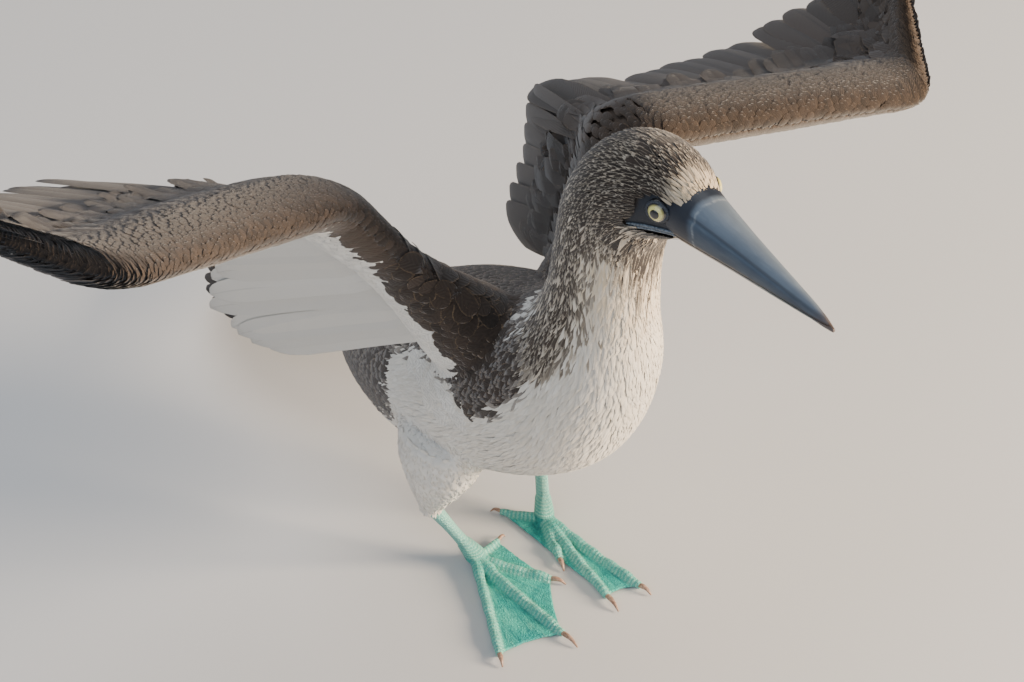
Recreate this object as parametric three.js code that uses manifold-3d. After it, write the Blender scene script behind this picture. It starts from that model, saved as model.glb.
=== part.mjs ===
// A life-size blue-footed booby standing on the floor with both wings raised and half folded.
// Millimetres, +Z up. The bird faces -Y, its left side is +X, and the floor is Z = 0.
// Each named mesh is one closed solid; neighbours keep a gap of 0.3 mm.
import * as THREE from "three";
import { mergeVertices } from "three/addons/utils/BufferGeometryUtils.js";
import Module from "manifold-3d";

const wasm = await Module();
wasm.setup();

const GAP = 0.3;
const VANE_THICKNESS = 0.6;
const vec = (x, y, z) => new THREE.Vector3(x, y, z);

// Driving dimensions of the bird
const CULMEN = 105;
const EYE_RADIUS = 7.2;
const TAIL_LENGTH = 190;
const WING_CHORD = 410;
const HAND_LENGTH = 118;
// The point of the floor that becomes the origin
const STAND_POINT = vec(-43, 23, 0);

// Spine of the body from tail root to bill base: x, y, z, half width, dorsal and ventral radius
const BODY_STATIONS = [
  [0, 160, 84, 16, 12, 12],
  [0, 132, 92, 35, 24, 40],
  [0, 88, 110, 51, 40, 59],
  [0, 38, 134, 60, 50, 64],
  [-2, -12, 164, 60, 50, 66],
  [-5, -52, 192, 54, 47, 59],
  [-6, -80, 228, 42, 38, 45],
  [-5, -90, 268, 31, 30, 35],
  [-5, -95, 306, 28, 28, 32],
  [-4, -102, 338, 29, 29, 31],
  [-2, -120, 363, 30, 30, 29],
  [0, -145, 372, 24, 25, 24],
  [0, -164, 373, 17, 18, 18],
  [0, -176, 372, 10, 11, 12],
];
const NECK_STARTS = 6.4 / 13;
const HEAD_STARTS = 8.9 / 13;
const SEAM = 0.0009;
const BODY_SIDES = 20;

// A closed solid from corner points and triangles, turned to face out
function solid(points, triangles) {
  const vertProperties = new Float32Array(points.flatMap((p) => [p.x, p.y, p.z]));
  const build = (list) =>
    new wasm.Manifold(
      new wasm.Mesh({ numProp: 3, vertProperties, triVerts: new Uint32Array(list.flat()) }),
    );
  const made = build(triangles);
  return made.volume() > 0 ? made : build(triangles.map(([a, b, c]) => [a, c, b]));
}

// A solid through rings of equal count, closed at both ends by a fan to the ring's middle
function ringSolid(rings) {
  const sides = rings[0].length;
  const points = rings.flat();
  const triangles = [];
  for (let i = 0; i + 1 < rings.length; i++)
    for (let j = 0; j < sides; j++) {
      const k = (j + 1) % sides;
      const [a, b] = [i * sides + j, i * sides + k];
      triangles.push([a, b, b + sides], [a, b + sides, a + sides]);
    }
  for (const [ring, flip] of [[0, true], [rings.length - 1, false]]) {
    const centre = points.length;
    const middle = vec(0, 0, 0);
    rings[ring].forEach((p) => middle.add(p));
    points.push(middle.divideScalar(sides));
    for (let j = 0; j < sides; j++) {
      const [a, b] = [ring * sides + j, ring * sides + ((j + 1) % sides)];
      triangles.push(flip ? [b, a, centre] : [a, b, centre]);
    }
  }
  return solid(points, triangles);
}

// Smooth values at share u of a table of rows, by a Catmull-Rom curve through each column
function blendRows(rows, u) {
  const at = (i) => rows[Math.min(Math.max(i, 0), rows.length - 1)];
  const x = u * (rows.length - 1);
  const i = Math.min(Math.floor(x), rows.length - 2);
  const t = x - i;
  return rows[0].map((_, c) => {
    const [p, q, r, s] = [at(i - 1)[c], at(i)[c], at(i + 1)[c], at(i + 2)[c]];
    return 0.5 * (2 * q + (r - p) * t + (2 * p - 5 * q + 4 * r - s) * t * t +
      (3 * q - p - 3 * r + s) * t * t * t);
  });
}

// One ring of an oval with its own upper and lower radius
function oval(centre, side, up, halfWidth, top, bottom, sides) {
  return Array.from({ length: sides }, (_, j) => {
    const angle = (2 * Math.PI * j) / sides;
    const rise = Math.sin(angle);
    return centre.clone()
      .addScaledVector(side, halfWidth * Math.cos(angle))
      .addScaledVector(up, (rise > 0 ? top : bottom) * rise);
  });
}

// The body from share u0 to u1 of its spine, grown outwards by extra
function bodyPiece(u0, u1, steps, sides, extra = 0) {
  const rings = [];
  for (let i = 0; i <= steps; i++) {
    const u = u0 + ((u1 - u0) * i) / steps;
    const [x, y, z, width, top, bottom] = blendRows(BODY_STATIONS, u);
    const ahead = blendRows(BODY_STATIONS, Math.min(u + 0.005, 1));
    const behind = blendRows(BODY_STATIONS, Math.max(u - 0.005, 0));
    const run = vec(0, ahead[1] - behind[1], ahead[2] - behind[2]).normalize();
    rings.push(oval(vec(x, y, z), vec(1, 0, 0), vec(0, run.z, -run.y),
      width + extra, top + extra, bottom + extra, sides));
  }
  return ringSolid(rings);
}

// A tube along points, each with its own radii across (side) and over (up)
function tube(points, radii, upHint, sides) {
  return ringSolid(points.map((p, i) => {
    const run = points[Math.min(i + 1, points.length - 1)].clone()
      .sub(points[Math.max(i - 1, 0)]).normalize();
    const side = run.clone().cross(upHint).normalize();
    const up = side.clone().cross(run).normalize();
    const [across, over] = radii[i];
    return oval(p, side, up, across, over, over, sides);
  }));
}

const lerp = (a, b, t) => a.clone().lerp(b, t);
const join = (list) => wasm.Manifold.union(list);
const largest = (made) =>
  made.decompose().reduce((a, b) => (b.volume() > a.volume() ? b : a));

// One feather vane: a thin plate from its root along "along", widening and then tapering
const VANE_SHAPE = [[0, 0.45], [0.35, 0.95], [0.85, 0.9], [1, 0.35]];
const COVERT_SHAPE = [[0, 0.5], [0.5, 1], [0.85, 0.8], [1, 0.3]];
function vane({ root, along, side, normal, length, width, bend = 0, shape = VANE_SHAPE }) {
  const points = [];
  for (const [t, share] of shape) {
    const middle = root.clone().addScaledVector(along, length * t)
      .addScaledVector(normal, -bend * length * t * t);
    for (const [across, over] of [[-1, 1], [1, 1], [1, -1], [-1, -1]])
      points.push(middle.clone().addScaledVector(side, (across * width * share) / 2)
        .addScaledVector(normal, (over * VANE_THICKNESS) / 2));
  }
  const triangles = [[0, 3, 2], [0, 2, 1]];
  const last = 4 * (shape.length - 1);
  triangles.push([last, last + 1, last + 2], [last, last + 2, last + 3]);
  for (let i = 0; i < last; i += 4) {
    const [a, b, c, d] = [i, i + 1, i + 2, i + 3];
    triangles.push([a, b, b + 4], [a, b + 4, a + 4]);
    triangles.push([d, c + 4, c], [d, d + 4, c + 4]);
    triangles.push([b, c, c + 4], [b, c + 4, b + 4]);
    triangles.push([a, d + 4, d], [a, a + 4, d + 4]);
  }
  return solid(points, triangles);
}

// Wings: shoulder, elbow, wrist, the way the hand points and the way the flight feathers trail
const WINGS = {
  right: {
    out: -1,
    shoulder: vec(-42, -20, 218),
    elbow: vec(-128, -3, 335),
    wrist: vec(-292, -66, 409),
    hand: vec(-0.577, 0.808, 0.115),
    trail: {
      shoulder: vec(-0.3, 0.82, -0.48), elbow: vec(-0.42, 0.86, -0.27), wrist: vec(-0.39, 0.9, -0.15),
    },
  },
  left: {
    out: 1,
    shoulder: vec(36, -20, 218),
    elbow: vec(34, -53, 342),
    wrist: vec(207, -92, 322),
    hand: vec(0.577, 0.808, 0.115),
    trail: {
      shoulder: vec(0.1, 0.85, -0.5), elbow: vec(0.19, 0.89, -0.4), wrist: vec(0.139, 0.9, -0.41),
    },
  },
};
const PRIMARIES = 10;
const SECONDARIES = 11;
const TERTIALS = 5;
const AXILLARIES = 5;
const LOUVRE = 0.13;

// A wing's local frame at share t of one of its bones
function wingFrame(from, to, t, along, out) {
  const root = lerp(from, to, t);
  const span = to.clone().sub(from).normalize();
  const side = span.addScaledVector(along, -span.dot(along)).normalize();
  const normal = side.clone().cross(along).multiplyScalar(out).normalize();
  return { root, side, normal };
}

// A row of vanes along a bone; each field is a function of the vane's share t
function row({
  from, to, way, out, count, shape, length, width, lift, inset, start = 0, end = 1, bend = 0.06,
}) {
  return Array.from({ length: count }, (_, i) => {
    const t = start + ((end - start) * (i + 0.5)) / count;
    const along = way(t).normalize();
    const { root, side, normal } = wingFrame(from, to, t, along, out);
    const tilted = side.clone().multiplyScalar(Math.cos(LOUVRE)).addScaledVector(normal, Math.sin(LOUVRE));
    const over = normal.clone().multiplyScalar(Math.cos(LOUVRE)).addScaledVector(side, -Math.sin(LOUVRE));
    root.addScaledVector(normal, lift).addScaledVector(along, inset);
    return vane({ root, along, side: tilted, normal: over, length: length(t), width, bend, shape });
  });
}

// Cuts a solid to the side of a plane that "keep" points to
const cutTo = (made, keep, point, margin = GAP / 2) =>
  made.trimByPlane([keep.x, keep.y, keep.z], keep.dot(point) + margin);

// Stations of the flesh along each bone: share, shift back, half width, half height
const ARM_FLESH = [
  [-0.12, 8, 24, 15], [0.25, 6, 22, 12], [0.6, 5, 24, 12], [0.9, 6, 30, 15], [1.2, 6, 34, 15],
];
const FOREARM_FLESH = [
  [-0.2, 6, 34, 15], [0.2, 7, 34, 15], [0.6, 7, 34, 14], [0.9, 6, 33, 12], [1.1, 2, 29, 8],
];
const HAND_FLESH = [
  [-0.2, 2, 26, 9], [0.1, 0, 24, 10], [0.4, 2, 17, 8], [0.75, 1, 11, 5], [1.1, 0, 4, 2.4],
];
// Primaries grow longer towards the wing tip
const SHORTEST_PRIMARY = 140;
const primaryLength = (t) =>
  SHORTEST_PRIMARY + (WING_CHORD - HAND_LENGTH - SHORTEST_PRIMARY) * Math.pow(t, 0.8);

// One wing as three solids, cut apart at the elbow and the wrist
function wing({ out, shoulder, elbow, wrist, hand, trail }, bodyCutter) {
  const tip = wrist.clone().addScaledVector(hand, HAND_LENGTH);
  const atWrist = lerp(trail.wrist, hand, 0.45).normalize();
  const bones = {
    arm: [shoulder, elbow, (t) => lerp(trail.shoulder, trail.elbow, Math.min(t, 1))],
    forearm: [elbow, wrist,
      (t) => lerp(lerp(trail.elbow, trail.wrist, Math.sqrt(t)), atWrist, Math.pow(t, 5))],
    hand: [wrist, tip, (t) => lerp(atWrist, hand, t)],
  };
  const flesh = (bone, at, stations) => {
    const [from, to, way] = bones[bone];
    const back = way(at).normalize();
    return tube(stations.map(([t, shift]) => lerp(from, to, t).addScaledVector(back, shift)),
      stations.map(([, , across, over]) => [across, over]), wingFrame(from, to, 0.5, back, out).normal, 10);
  };
  const feathers = (bone, count, options) => {
    const [from, to, way] = bones[bone];
    return row({ from, to, way, out, count, shape: COVERT_SHAPE, ...options });
  };
  const flight = { lift: 0, shape: VANE_SHAPE };
  const arm = [
    flesh("arm", 0.6, ARM_FLESH),
    ...feathers("arm", TERTIALS, {
      ...flight, start: 0.12, end: 1.04, length: (t) => 108 + 12 * t, width: 36, inset: 16,
    }),
    ...feathers("arm", TERTIALS, { start: 0.25, end: 1.04, length: () => 62, width: 30, lift: 6, inset: 8 }),
    ...feathers("arm", AXILLARIES, {
      start: 0.1, end: 0.85, length: (t) => 96 + 12 * t, width: 31, lift: -7, inset: 8, bend: -0.03,
    }),
  ];
  const forearm = [
    flesh("forearm", 0.3, FOREARM_FLESH),
    ...feathers("forearm", SECONDARIES, { ...flight, length: () => 128, width: 27, inset: 22 }),
    ...feathers("forearm", SECONDARIES - 3, { length: () => 62, width: 29, lift: 5, inset: 18 }),
    ...feathers("forearm", SECONDARIES - 5, { length: () => 38, width: 33, lift: 8.4, inset: 8 }),
  ];
  const handVanes = [
    flesh("hand", 0.3, HAND_FLESH),
    ...feathers("hand", PRIMARIES, { ...flight, length: primaryLength, width: 22, inset: 8, bend: 0.05 }),
    ...feathers("hand", PRIMARIES - 4, { length: (t) => 62 + 22 * t, width: 22, lift: 3.6, inset: 4 }),
  ];
  const elbowPlane = wingFrame(shoulder, wrist, 0.5, trail.elbow, out).side;
  const wristPlane = wingFrame(elbow, tip, 0.5, atWrist, out).side;
  const minus = (v) => v.clone().negate();
  return {
    arm: largest(cutTo(join(arm), minus(elbowPlane), elbow).subtract(bodyCutter)),
    forearm: largest(cutTo(cutTo(join(forearm), elbowPlane, elbow), minus(wristPlane), wrist)
      .subtract(bodyCutter)),
    hand: largest(cutTo(join(handVanes), wristPlane, wrist)),
  };
}

// Tail: graduated feathers fanned about a stub, the middle pair longest and on top
const TAIL_ROOT = vec(0, 140, 88);
const TAIL_SLOPE = 0.31;
const TAIL_STUB = [[-22, 22, 14], [10, 19, 10], [34, 14, 4]];
const TAIL_TILT = 0.12;
const TAIL_TIERS = [
  { pairs: 6, length: TAIL_LENGTH, width: 21, spread: 0.3, drop: 9, lift: 3, shape: VANE_SHAPE },
  { pairs: 2, length: 74, width: 30, spread: 0.2, drop: 6, lift: 9, shape: COVERT_SHAPE },
  { pairs: 2, length: 84, width: 30, spread: 0.2, drop: -2, lift: -9, shape: COVERT_SHAPE },
];
function tail(bodyCutter) {
  const back = vec(0, Math.cos(TAIL_SLOPE), -Math.sin(TAIL_SLOPE));
  const up = vec(0, Math.sin(TAIL_SLOPE), Math.cos(TAIL_SLOPE));
  const stub = tube(TAIL_STUB.map(([d]) => TAIL_ROOT.clone().addScaledVector(back, d)),
    TAIL_STUB.map(([, across, over]) => [across, over]), up, 12);
  const vanes = [];
  for (const { pairs, length, width, spread, drop, lift, shape } of TAIL_TIERS)
    for (const hand of [-1, 1])
      for (let i = 0; i < pairs; i++) {
        const share = (i + 0.5) / pairs;
        const turn = hand * share * spread;
        const along = back.clone().multiplyScalar(Math.cos(turn)).add(vec(Math.sin(turn), 0, 0));
        const across = along.clone().cross(up).normalize();
        const side = across.clone().multiplyScalar(Math.cos(TAIL_TILT))
          .addScaledVector(up, -hand * Math.sin(TAIL_TILT));
        const normal = side.clone().cross(along).normalize();
        vanes.push(vane({
          root: TAIL_ROOT.clone().add(vec(hand * share * 17, 0, 0)).addScaledVector(up, lift - share * drop),
          along, side, normal, length: length * (1 - 0.42 * share * share), width, shape, bend: 0.02,
        }));
      }
  return largest(join([stub, ...vanes]).subtract(bodyCutter));
}

// Bill: a long cone with a slight hook, split along the line of the mouth
// Stations: distance ahead of the bill's base, half width, top and bottom radius
const BILL_BASE = vec(0, -172, 372);
const BILL_STATIONS = [
  [-26, 18, 19, 17], [-6, 15.5, 17, 17], [6, 13.6, 15, 15.6], [30, 10, 11.6, 12.4],
  [58, 6.6, 8.2, 8.6], [82, 3.8, 5.2, 5], [95, 2.2, 3.2, 2.6], [CULMEN - 3, 0.9, 0.9, 1.2],
];
const HOOK = 1.2;
const MOUTH_TILT = 0.075;
const MOUTH_POINT = vec(0, -254, 372);
const MOUTH_CORNER = -150;
const GROOVE_RADIUS = 1.1;
function bill(headCutter) {
  const middle = (d) => vec(0, BILL_BASE.y - d, BILL_BASE.z + 1 - (d > 90 ? HOOK : 0));
  const rings = BILL_STATIONS.map(([d, width, top, bottom]) =>
    oval(middle(d), vec(1, 0, 0), vec(0, 0, 1), width, top, bottom, 16));
  const whole = ringSolid(rings.reverse()).subtract(headCutter);
  // The closed nostril's groove runs forward along each side of the upper bill
  const grooved = BILL_STATIONS.slice(1, 6);
  const groove = (hand) => tube(
    grooved.map(([d, width, top]) => middle(d).add(vec(hand * width * 0.86, 0, top * 0.52))),
    grooved.map(() => [GROOVE_RADIUS, GROOVE_RADIUS]), vec(0, 0, 1), 6);
  const mouth = vec(0, MOUTH_TILT, 1).normalize();
  return {
    upper: largest(cutTo(whole, mouth, MOUTH_POINT).subtract(groove(1)).subtract(groove(-1))),
    lower: largest(cutTo(whole, mouth.clone().negate(), MOUTH_POINT)),
  };
}

// A closed solid from one of the library's own closed shapes
function fromGeometry(geometry) {
  geometry.deleteAttribute("normal");
  geometry.deleteAttribute("uv");
  const merged = mergeVertices(geometry, 1e-4);
  return new wasm.Manifold(new wasm.Mesh({
    numProp: 3,
    vertProperties: merged.attributes.position.array,
    triVerts: new Uint32Array(merged.index.array),
  }));
}

// Head: a raised lid round each eye, and the mouth's corner running back under it
const EYE_CENTRE = vec(16, -153, 375.5);
const EYE_WAY = vec(0.9, -0.4, 0.12).normalize();
const LID = { ring: 6, thickness: 2.1, ahead: 2.6 };
const eyeball = (radius) => new THREE.SphereGeometry(radius, 16, 10).rotateX(Math.PI / 2);
function head() {
  let made = bodyPiece(HEAD_STARTS + SEAM / 2, 1, 12, BODY_SIDES);
  for (const hand of [-1, 1]) {
    const centre = EYE_CENTRE.clone().multiply(vec(hand, 1, 1));
    const way = EYE_WAY.clone().multiply(vec(hand, 1, 1));
    const lid = new THREE.TorusGeometry(LID.ring, LID.thickness, 6, 16)
      .applyQuaternion(new THREE.Quaternion().setFromUnitVectors(vec(0, 0, 1), way))
      .translate(...centre.clone().addScaledVector(way, LID.ahead).toArray());
    made = made.add(fromGeometry(lid))
      .subtract(fromGeometry(eyeball(EYE_RADIUS + GAP)).translate(centre.toArray()));
  }
  const mouth = new THREE.BoxGeometry(80, 120, 2 * GAP).translate(0, MOUTH_CORNER - MOUTH_POINT.y - 60, 0)
    .rotateX(-MOUTH_TILT).translate(...MOUTH_POINT.toArray());
  return largest(made.subtract(fromGeometry(mouth)));
}
const eye = (hand) =>
  fromGeometry(eyeball(EYE_RADIUS)).translate(EYE_CENTRE.clone().multiply(vec(hand, 1, 1)).toArray());

// Legs: the feathered thigh, the bare shank and the webbed foot
// Toes: length with claw, and degrees outwards from straight ahead
const LEGS = {
  right: {
    out: -1, base: vec(-24, 5, 8), heel: vec(-46, 18, 50), knee: vec(-41, 10, 118),
    toes: { hallux: [29, -106], inner: [58, -36], middle: [94, -5.6], outer: [89, 24] },
  },
  left: {
    out: 1, base: vec(31, 10, 8), heel: vec(38, 26, 52), knee: vec(39, 10, 118),
    toes: { hallux: [34, -140], inner: [45, -20], middle: [89, -5.5], outer: [90, 10] },
  },
};
// Stations from heel to knee and from toe base to heel: share, radius across, radius along
const THIGH = [[-0.04, 6.5, 6.5], [0.1, 9, 9], [0.3, 15, 17], [0.6, 22, 27], [1, 25, 30]];
const SHANK = [[0.02, 5.2, 6], [0.2, 3.9, 5], [0.5, 3.6, 4.6], [0.82, 4.3, 5.6], [1, 5.2, 6.4]];
const KNUCKLE = [[-0.14, 5, 5], [0, 6.4, 6.4], [0.25, 4.6, 5.4]];
// Toe stations: share of its reach, height, radius; claw stations: share, height, half width, half height
const TOE = [[0, 6, 4.6], [0.2, 4.6, 4], [0.45, 3.4, 4.2], [0.62, 3, 3.5], [0.8, 2.8, 3.8], [1, 2.6, 2.6]];
const CLAW = [[-0.2, 3, 1.9, 1.7], [0.3, 3.1, 1.9, 1.8], [0.65, 2.8, 1.3, 1.3], [1, 1.2, 0.5, 0.5]];
const CLAW_LENGTH = { hallux: 6, inner: 9, middle: 13, outer: 9 };
const HALLUX_SLIMNESS = 0.75;
const ANKLE = 0.16;
const WEB_THICKNESS = 1.4;
const WEB_HOLLOW = 0.03;
const FLOOR = [0, 0, 1];
function leg({ out, base, heel, knee, toes }, bodyCutter) {
  const along = (from, to, stations, sides) => tube(stations.map(([t]) => lerp(from, to, t)),
    stations.map(([, across, over]) => [across, over]), vec(0, 1, 0), sides);
  const rise = heel.clone().sub(base).normalize();
  const heelPlane = knee.clone().sub(heel).normalize();
  const ankle = lerp(base, heel, ANKLE);
  const tips = {};
  const claws = {};
  const rooms = [];
  const pieces = [along(base, heel, KNUCKLE, 12)];
  for (const [name, [length, angle]] of Object.entries(toes)) {
    const turn = THREE.MathUtils.degToRad(out * angle);
    const way = vec(Math.sin(turn), -Math.cos(turn), 0);
    const reach = length - CLAW_LENGTH[name];
    const at = (d, z) => vec(base.x, base.y, z).addScaledVector(way, d);
    const slim = name === "hallux" ? HALLUX_SLIMNESS : 1;
    pieces.push(tube(TOE.map(([t, z]) => at(reach * t, z)),
      TOE.map(([, , r]) => [r * slim, r * slim]), vec(0, 0, 1), 8));
    tips[name] = at(reach - 1, 1.9);
    const claw = (grown) => cutTo(tube(CLAW.map(([t, z]) => at(reach + CLAW_LENGTH[name] * t, z)),
      CLAW.map(([, , across, over]) => [across * slim + grown, over * slim + grown]), vec(0, 0, 1), 8),
    way, at(reach, 0), GAP - grown);
    claws[name] = largest(claw(0).trimByPlane(FLOOR, GAP));
    rooms.push(claw(GAP));
  }
  const middle = vec(base.x, base.y, 1.9);
  for (const [one, two] of [["hallux", "inner"], ["inner", "middle"], ["middle", "outer"]])
    pieces.push(web(middle, tips[one], tips[two]));
  return {
    thigh: largest(cutTo(along(heel, knee, THIGH, 16), heelPlane, heel).subtract(bodyCutter)),
    shank: largest(cutTo(cutTo(along(base, heel, SHANK, 12), heelPlane.clone().negate(), heel), rise, ankle)),
    foot: largest(cutTo(join(pieces), rise.clone().negate(), ankle)
      .trimByPlane(FLOOR, 0).subtract(join(rooms))),
    claws,
  };
}

// Skin between two toes, with its front edge a little hollow
function web(root, one, two) {
  const edge = [0, 0.2, 0.4, 0.6, 0.8, 1].map((t) =>
    lerp(root, lerp(one, two, t), 1 - WEB_HOLLOW * Math.sin(Math.PI * t)));
  const face = (over) => [root, ...edge].map((p) => p.clone().add(vec(0, 0, (over * WEB_THICKNESS) / 2)));
  const count = edge.length + 1;
  const triangles = [
    [0, count, 1], [1, count, count + 1], [0, count - 1, count], [count - 1, 2 * count - 1, count],
  ];
  for (let i = 1; i < count - 1; i++) {
    triangles.push([0, i, i + 1], [count, count + i + 1, count + i]);
    triangles.push([i, count + i, i + 1], [i + 1, count + i, count + i + 1]);
  }
  return solid([...face(1), ...face(-1)], triangles);
}

const bodyCutter = bodyPiece(0, 1, 36, BODY_SIDES, 2 * GAP);
const headCutter = bodyPiece(HEAD_STARTS, 1, 12, BODY_SIDES, 1.5 * GAP);
const BROWN = "brown_plumage";
const WHITE = "white_plumage";
const HORN = "bill_horn";
const FOOT = "foot_skin";
const FINISH = {
  [BROWN]: { color: 0x3a2c24, roughness: 0.85 },
  streaked_plumage: { color: 0x7d7166, roughness: 0.85 },
  [WHITE]: { color: 0xe9e2d4, roughness: 0.85 },
  [HORN]: { color: 0x4c5a6b, roughness: 0.45 },
  [FOOT]: { color: 0x3fa79d, roughness: 0.5 },
  claw_horn: { color: 0xb08a73, roughness: 0.4 },
  eye: { color: 0xd9cf7a, roughness: 0.08 },
};

const booby = new THREE.Group();
function addNode(name, finish, made) {
  const { vertProperties, triVerts } = made.getMesh();
  const geometry = new THREE.BufferGeometry()
    .setAttribute("position", new THREE.BufferAttribute(new Float32Array(vertProperties), 3))
    .setIndex(new THREE.BufferAttribute(new Uint32Array(triVerts), 1))
    .translate(-STAND_POINT.x, -STAND_POINT.y, -STAND_POINT.z);
  geometry.computeVertexNormals();
  const material = new THREE.MeshStandardMaterial({ ...FINISH[finish], metalness: 0 });
  material.name = finish;
  const mesh = new THREE.Mesh(geometry, material);
  mesh.name = name;
  booby.add(mesh);
}

addNode("torso", WHITE, bodyPiece(0, NECK_STARTS - SEAM / 2, 18, BODY_SIDES));
addNode("neck", "streaked_plumage", bodyPiece(NECK_STARTS + SEAM / 2, HEAD_STARTS - SEAM / 2, 7, BODY_SIDES));
addNode("head", "streaked_plumage", head());
const jaws = bill(headCutter);
addNode("bill_upper", HORN, jaws.upper);
addNode("bill_lower", HORN, jaws.lower);
addNode("right_eye", "eye", eye(-1));
addNode("left_eye", "eye", eye(1));
addNode("tail", BROWN, tail(bodyCutter));
for (const [name, spec] of Object.entries(WINGS)) {
  const made = wing(spec, bodyCutter);
  addNode(`${name}_upper_arm`, BROWN, made.arm);
  addNode(`${name}_forearm`, BROWN, made.forearm);
  addNode(`${name}_hand`, BROWN, made.hand);
}
for (const [name, spec] of Object.entries(LEGS)) {
  const made = leg(spec, bodyCutter);
  addNode(`${name}_thigh`, WHITE, made.thigh);
  addNode(`${name}_shank`, FOOT, made.shank);
  addNode(`${name}_foot`, FOOT, made.foot);
  for (const [toe, claw] of Object.entries(made.claws)) addNode(`${name}_${toe}_claw`, "claw_horn", claw);
}

export default booby;
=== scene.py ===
# %% [markdown]
# # A blue-footed booby with raised wings
# The solids from the part's source are a fixed frame: they say where each bone, toe and feather tier lies.
# Everything here is worked out in millimetres in the bird's own frame (it faces -Y, its left is +X) and is
# turned to the frame's metres only when a mesh is made, so a number can be compared with the real bird.

# %% Load the solids
import bpy
import numpy as np
from mathutils import Matrix


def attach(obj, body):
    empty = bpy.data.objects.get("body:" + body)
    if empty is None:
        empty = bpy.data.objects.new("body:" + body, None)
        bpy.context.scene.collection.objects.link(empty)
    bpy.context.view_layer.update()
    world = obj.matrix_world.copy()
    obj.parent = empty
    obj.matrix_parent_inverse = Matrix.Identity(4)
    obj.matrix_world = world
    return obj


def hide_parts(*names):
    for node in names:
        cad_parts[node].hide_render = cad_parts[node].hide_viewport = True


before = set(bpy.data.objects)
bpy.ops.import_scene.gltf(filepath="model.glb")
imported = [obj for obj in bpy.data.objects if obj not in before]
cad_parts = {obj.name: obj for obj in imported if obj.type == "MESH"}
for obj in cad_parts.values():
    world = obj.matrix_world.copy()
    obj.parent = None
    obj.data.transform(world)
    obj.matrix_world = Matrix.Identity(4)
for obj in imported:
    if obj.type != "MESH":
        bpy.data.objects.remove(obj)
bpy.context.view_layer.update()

# %% [markdown]
# ## Small tools
# A learner could place each vertex by hand in Blender, but a bird has tens of thousands of feathers. Each shape
# is a formula on whole arrays, so these few helpers are all that the later cells need.

# %% Numbers and directions
STAND_POINT = np.array([-43.0, 23.0, 0.0])
luck = np.random.default_rng(11)


def metres(points):
    """The bird's millimetres, less the floor point it stands over, as the frame's metres."""
    return (np.asarray(points, float) - STAND_POINT) / 1000


def unit(v):
    """A vector over its own length."""
    v = np.asarray(v, float)
    return v / np.maximum(np.linalg.norm(v, axis=-1, keepdims=True), 1e-9)


def ease(low, high, x):
    """0 below low, 1 above high, and 3t2 - 2t3 between them."""
    t = np.clip((x - low) / (high - low), 0, 1)
    return t * t * (3 - 2 * t)


def blend(a, b, t):
    """a at t = 0, b at t = 1, and a straight mix between them, colour by colour."""
    t = np.asarray(t, float)[..., None]
    return np.asarray(a, float) * (1 - t) + np.asarray(b, float) * t


def along_rows(rows, u):
    """A Catmull-Rom curve through the rows at share u: each column is a cubic that meets its neighbours' slopes."""
    rows = np.asarray(rows, float)
    x = np.clip(u, 0, 1) * (len(rows) - 1)
    i = np.minimum(x.astype(int), len(rows) - 2)
    t = (x - i)[..., None]
    p, q, r, s = (rows[np.clip(i + k, 0, len(rows) - 1)] for k in (-1, 0, 1, 2))
    return 0.5 * (2 * q + (r - p) * t + (2 * p - 5 * q + 4 * r - s) * t**2 + (3 * q - p - 3 * r + s) * t**3)


def turns(sides):
    """Equal turns round a circle, from 0."""
    return np.arange(sides) * 2 * np.pi / sides

# %% Meshes from arrays
def ring_faces(rings, sides):
    """Quads that join ring k to ring k + 1 all the way round, for rings of equal count."""
    k, j = np.meshgrid(np.arange(rings - 1), np.arange(sides), indexing="ij")
    a, b = k * sides + j, k * sides + (j + 1) % sides
    return np.stack([a, b, b + sides, a + sides], -1).reshape(-1, 4)


def closed_tube(rings):
    """Points and faces of a tube through rings (n, sides, 3), with a fan to the middle of each end."""
    n, sides = rings.shape[:2]
    points = np.concatenate([rings.reshape(-1, 3), rings[:1].mean(1), rings[-1:].mean(1)])
    j = np.arange(sides)
    k = (j + 1) % sides
    start = np.stack([k, j, np.full(sides, n * sides)], -1)
    end = np.stack([j, k, np.full(sides, n * sides + 1)], -1)
    end[:, :2] += (n - 1) * sides
    return points, [ring_faces(n, sides), np.concatenate([start, end])]


def volume(points, faces):
    """Sum of a . (b x c) / 6 over the triangles that fan out of each face, which is positive if they face out."""
    total = 0.0
    for f in faces:
        a = points[f[:, 0]]
        for k in range(1, f.shape[1] - 1):
            total += (a * np.cross(points[f[:, k]], points[f[:, k + 1]])).sum() / 6
    return total


def add_object(name, data):
    """An object that shows the data, linked to the scene."""
    made = bpy.data.objects.new(name, data)
    bpy.context.scene.collection.objects.link(made)
    return made


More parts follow.
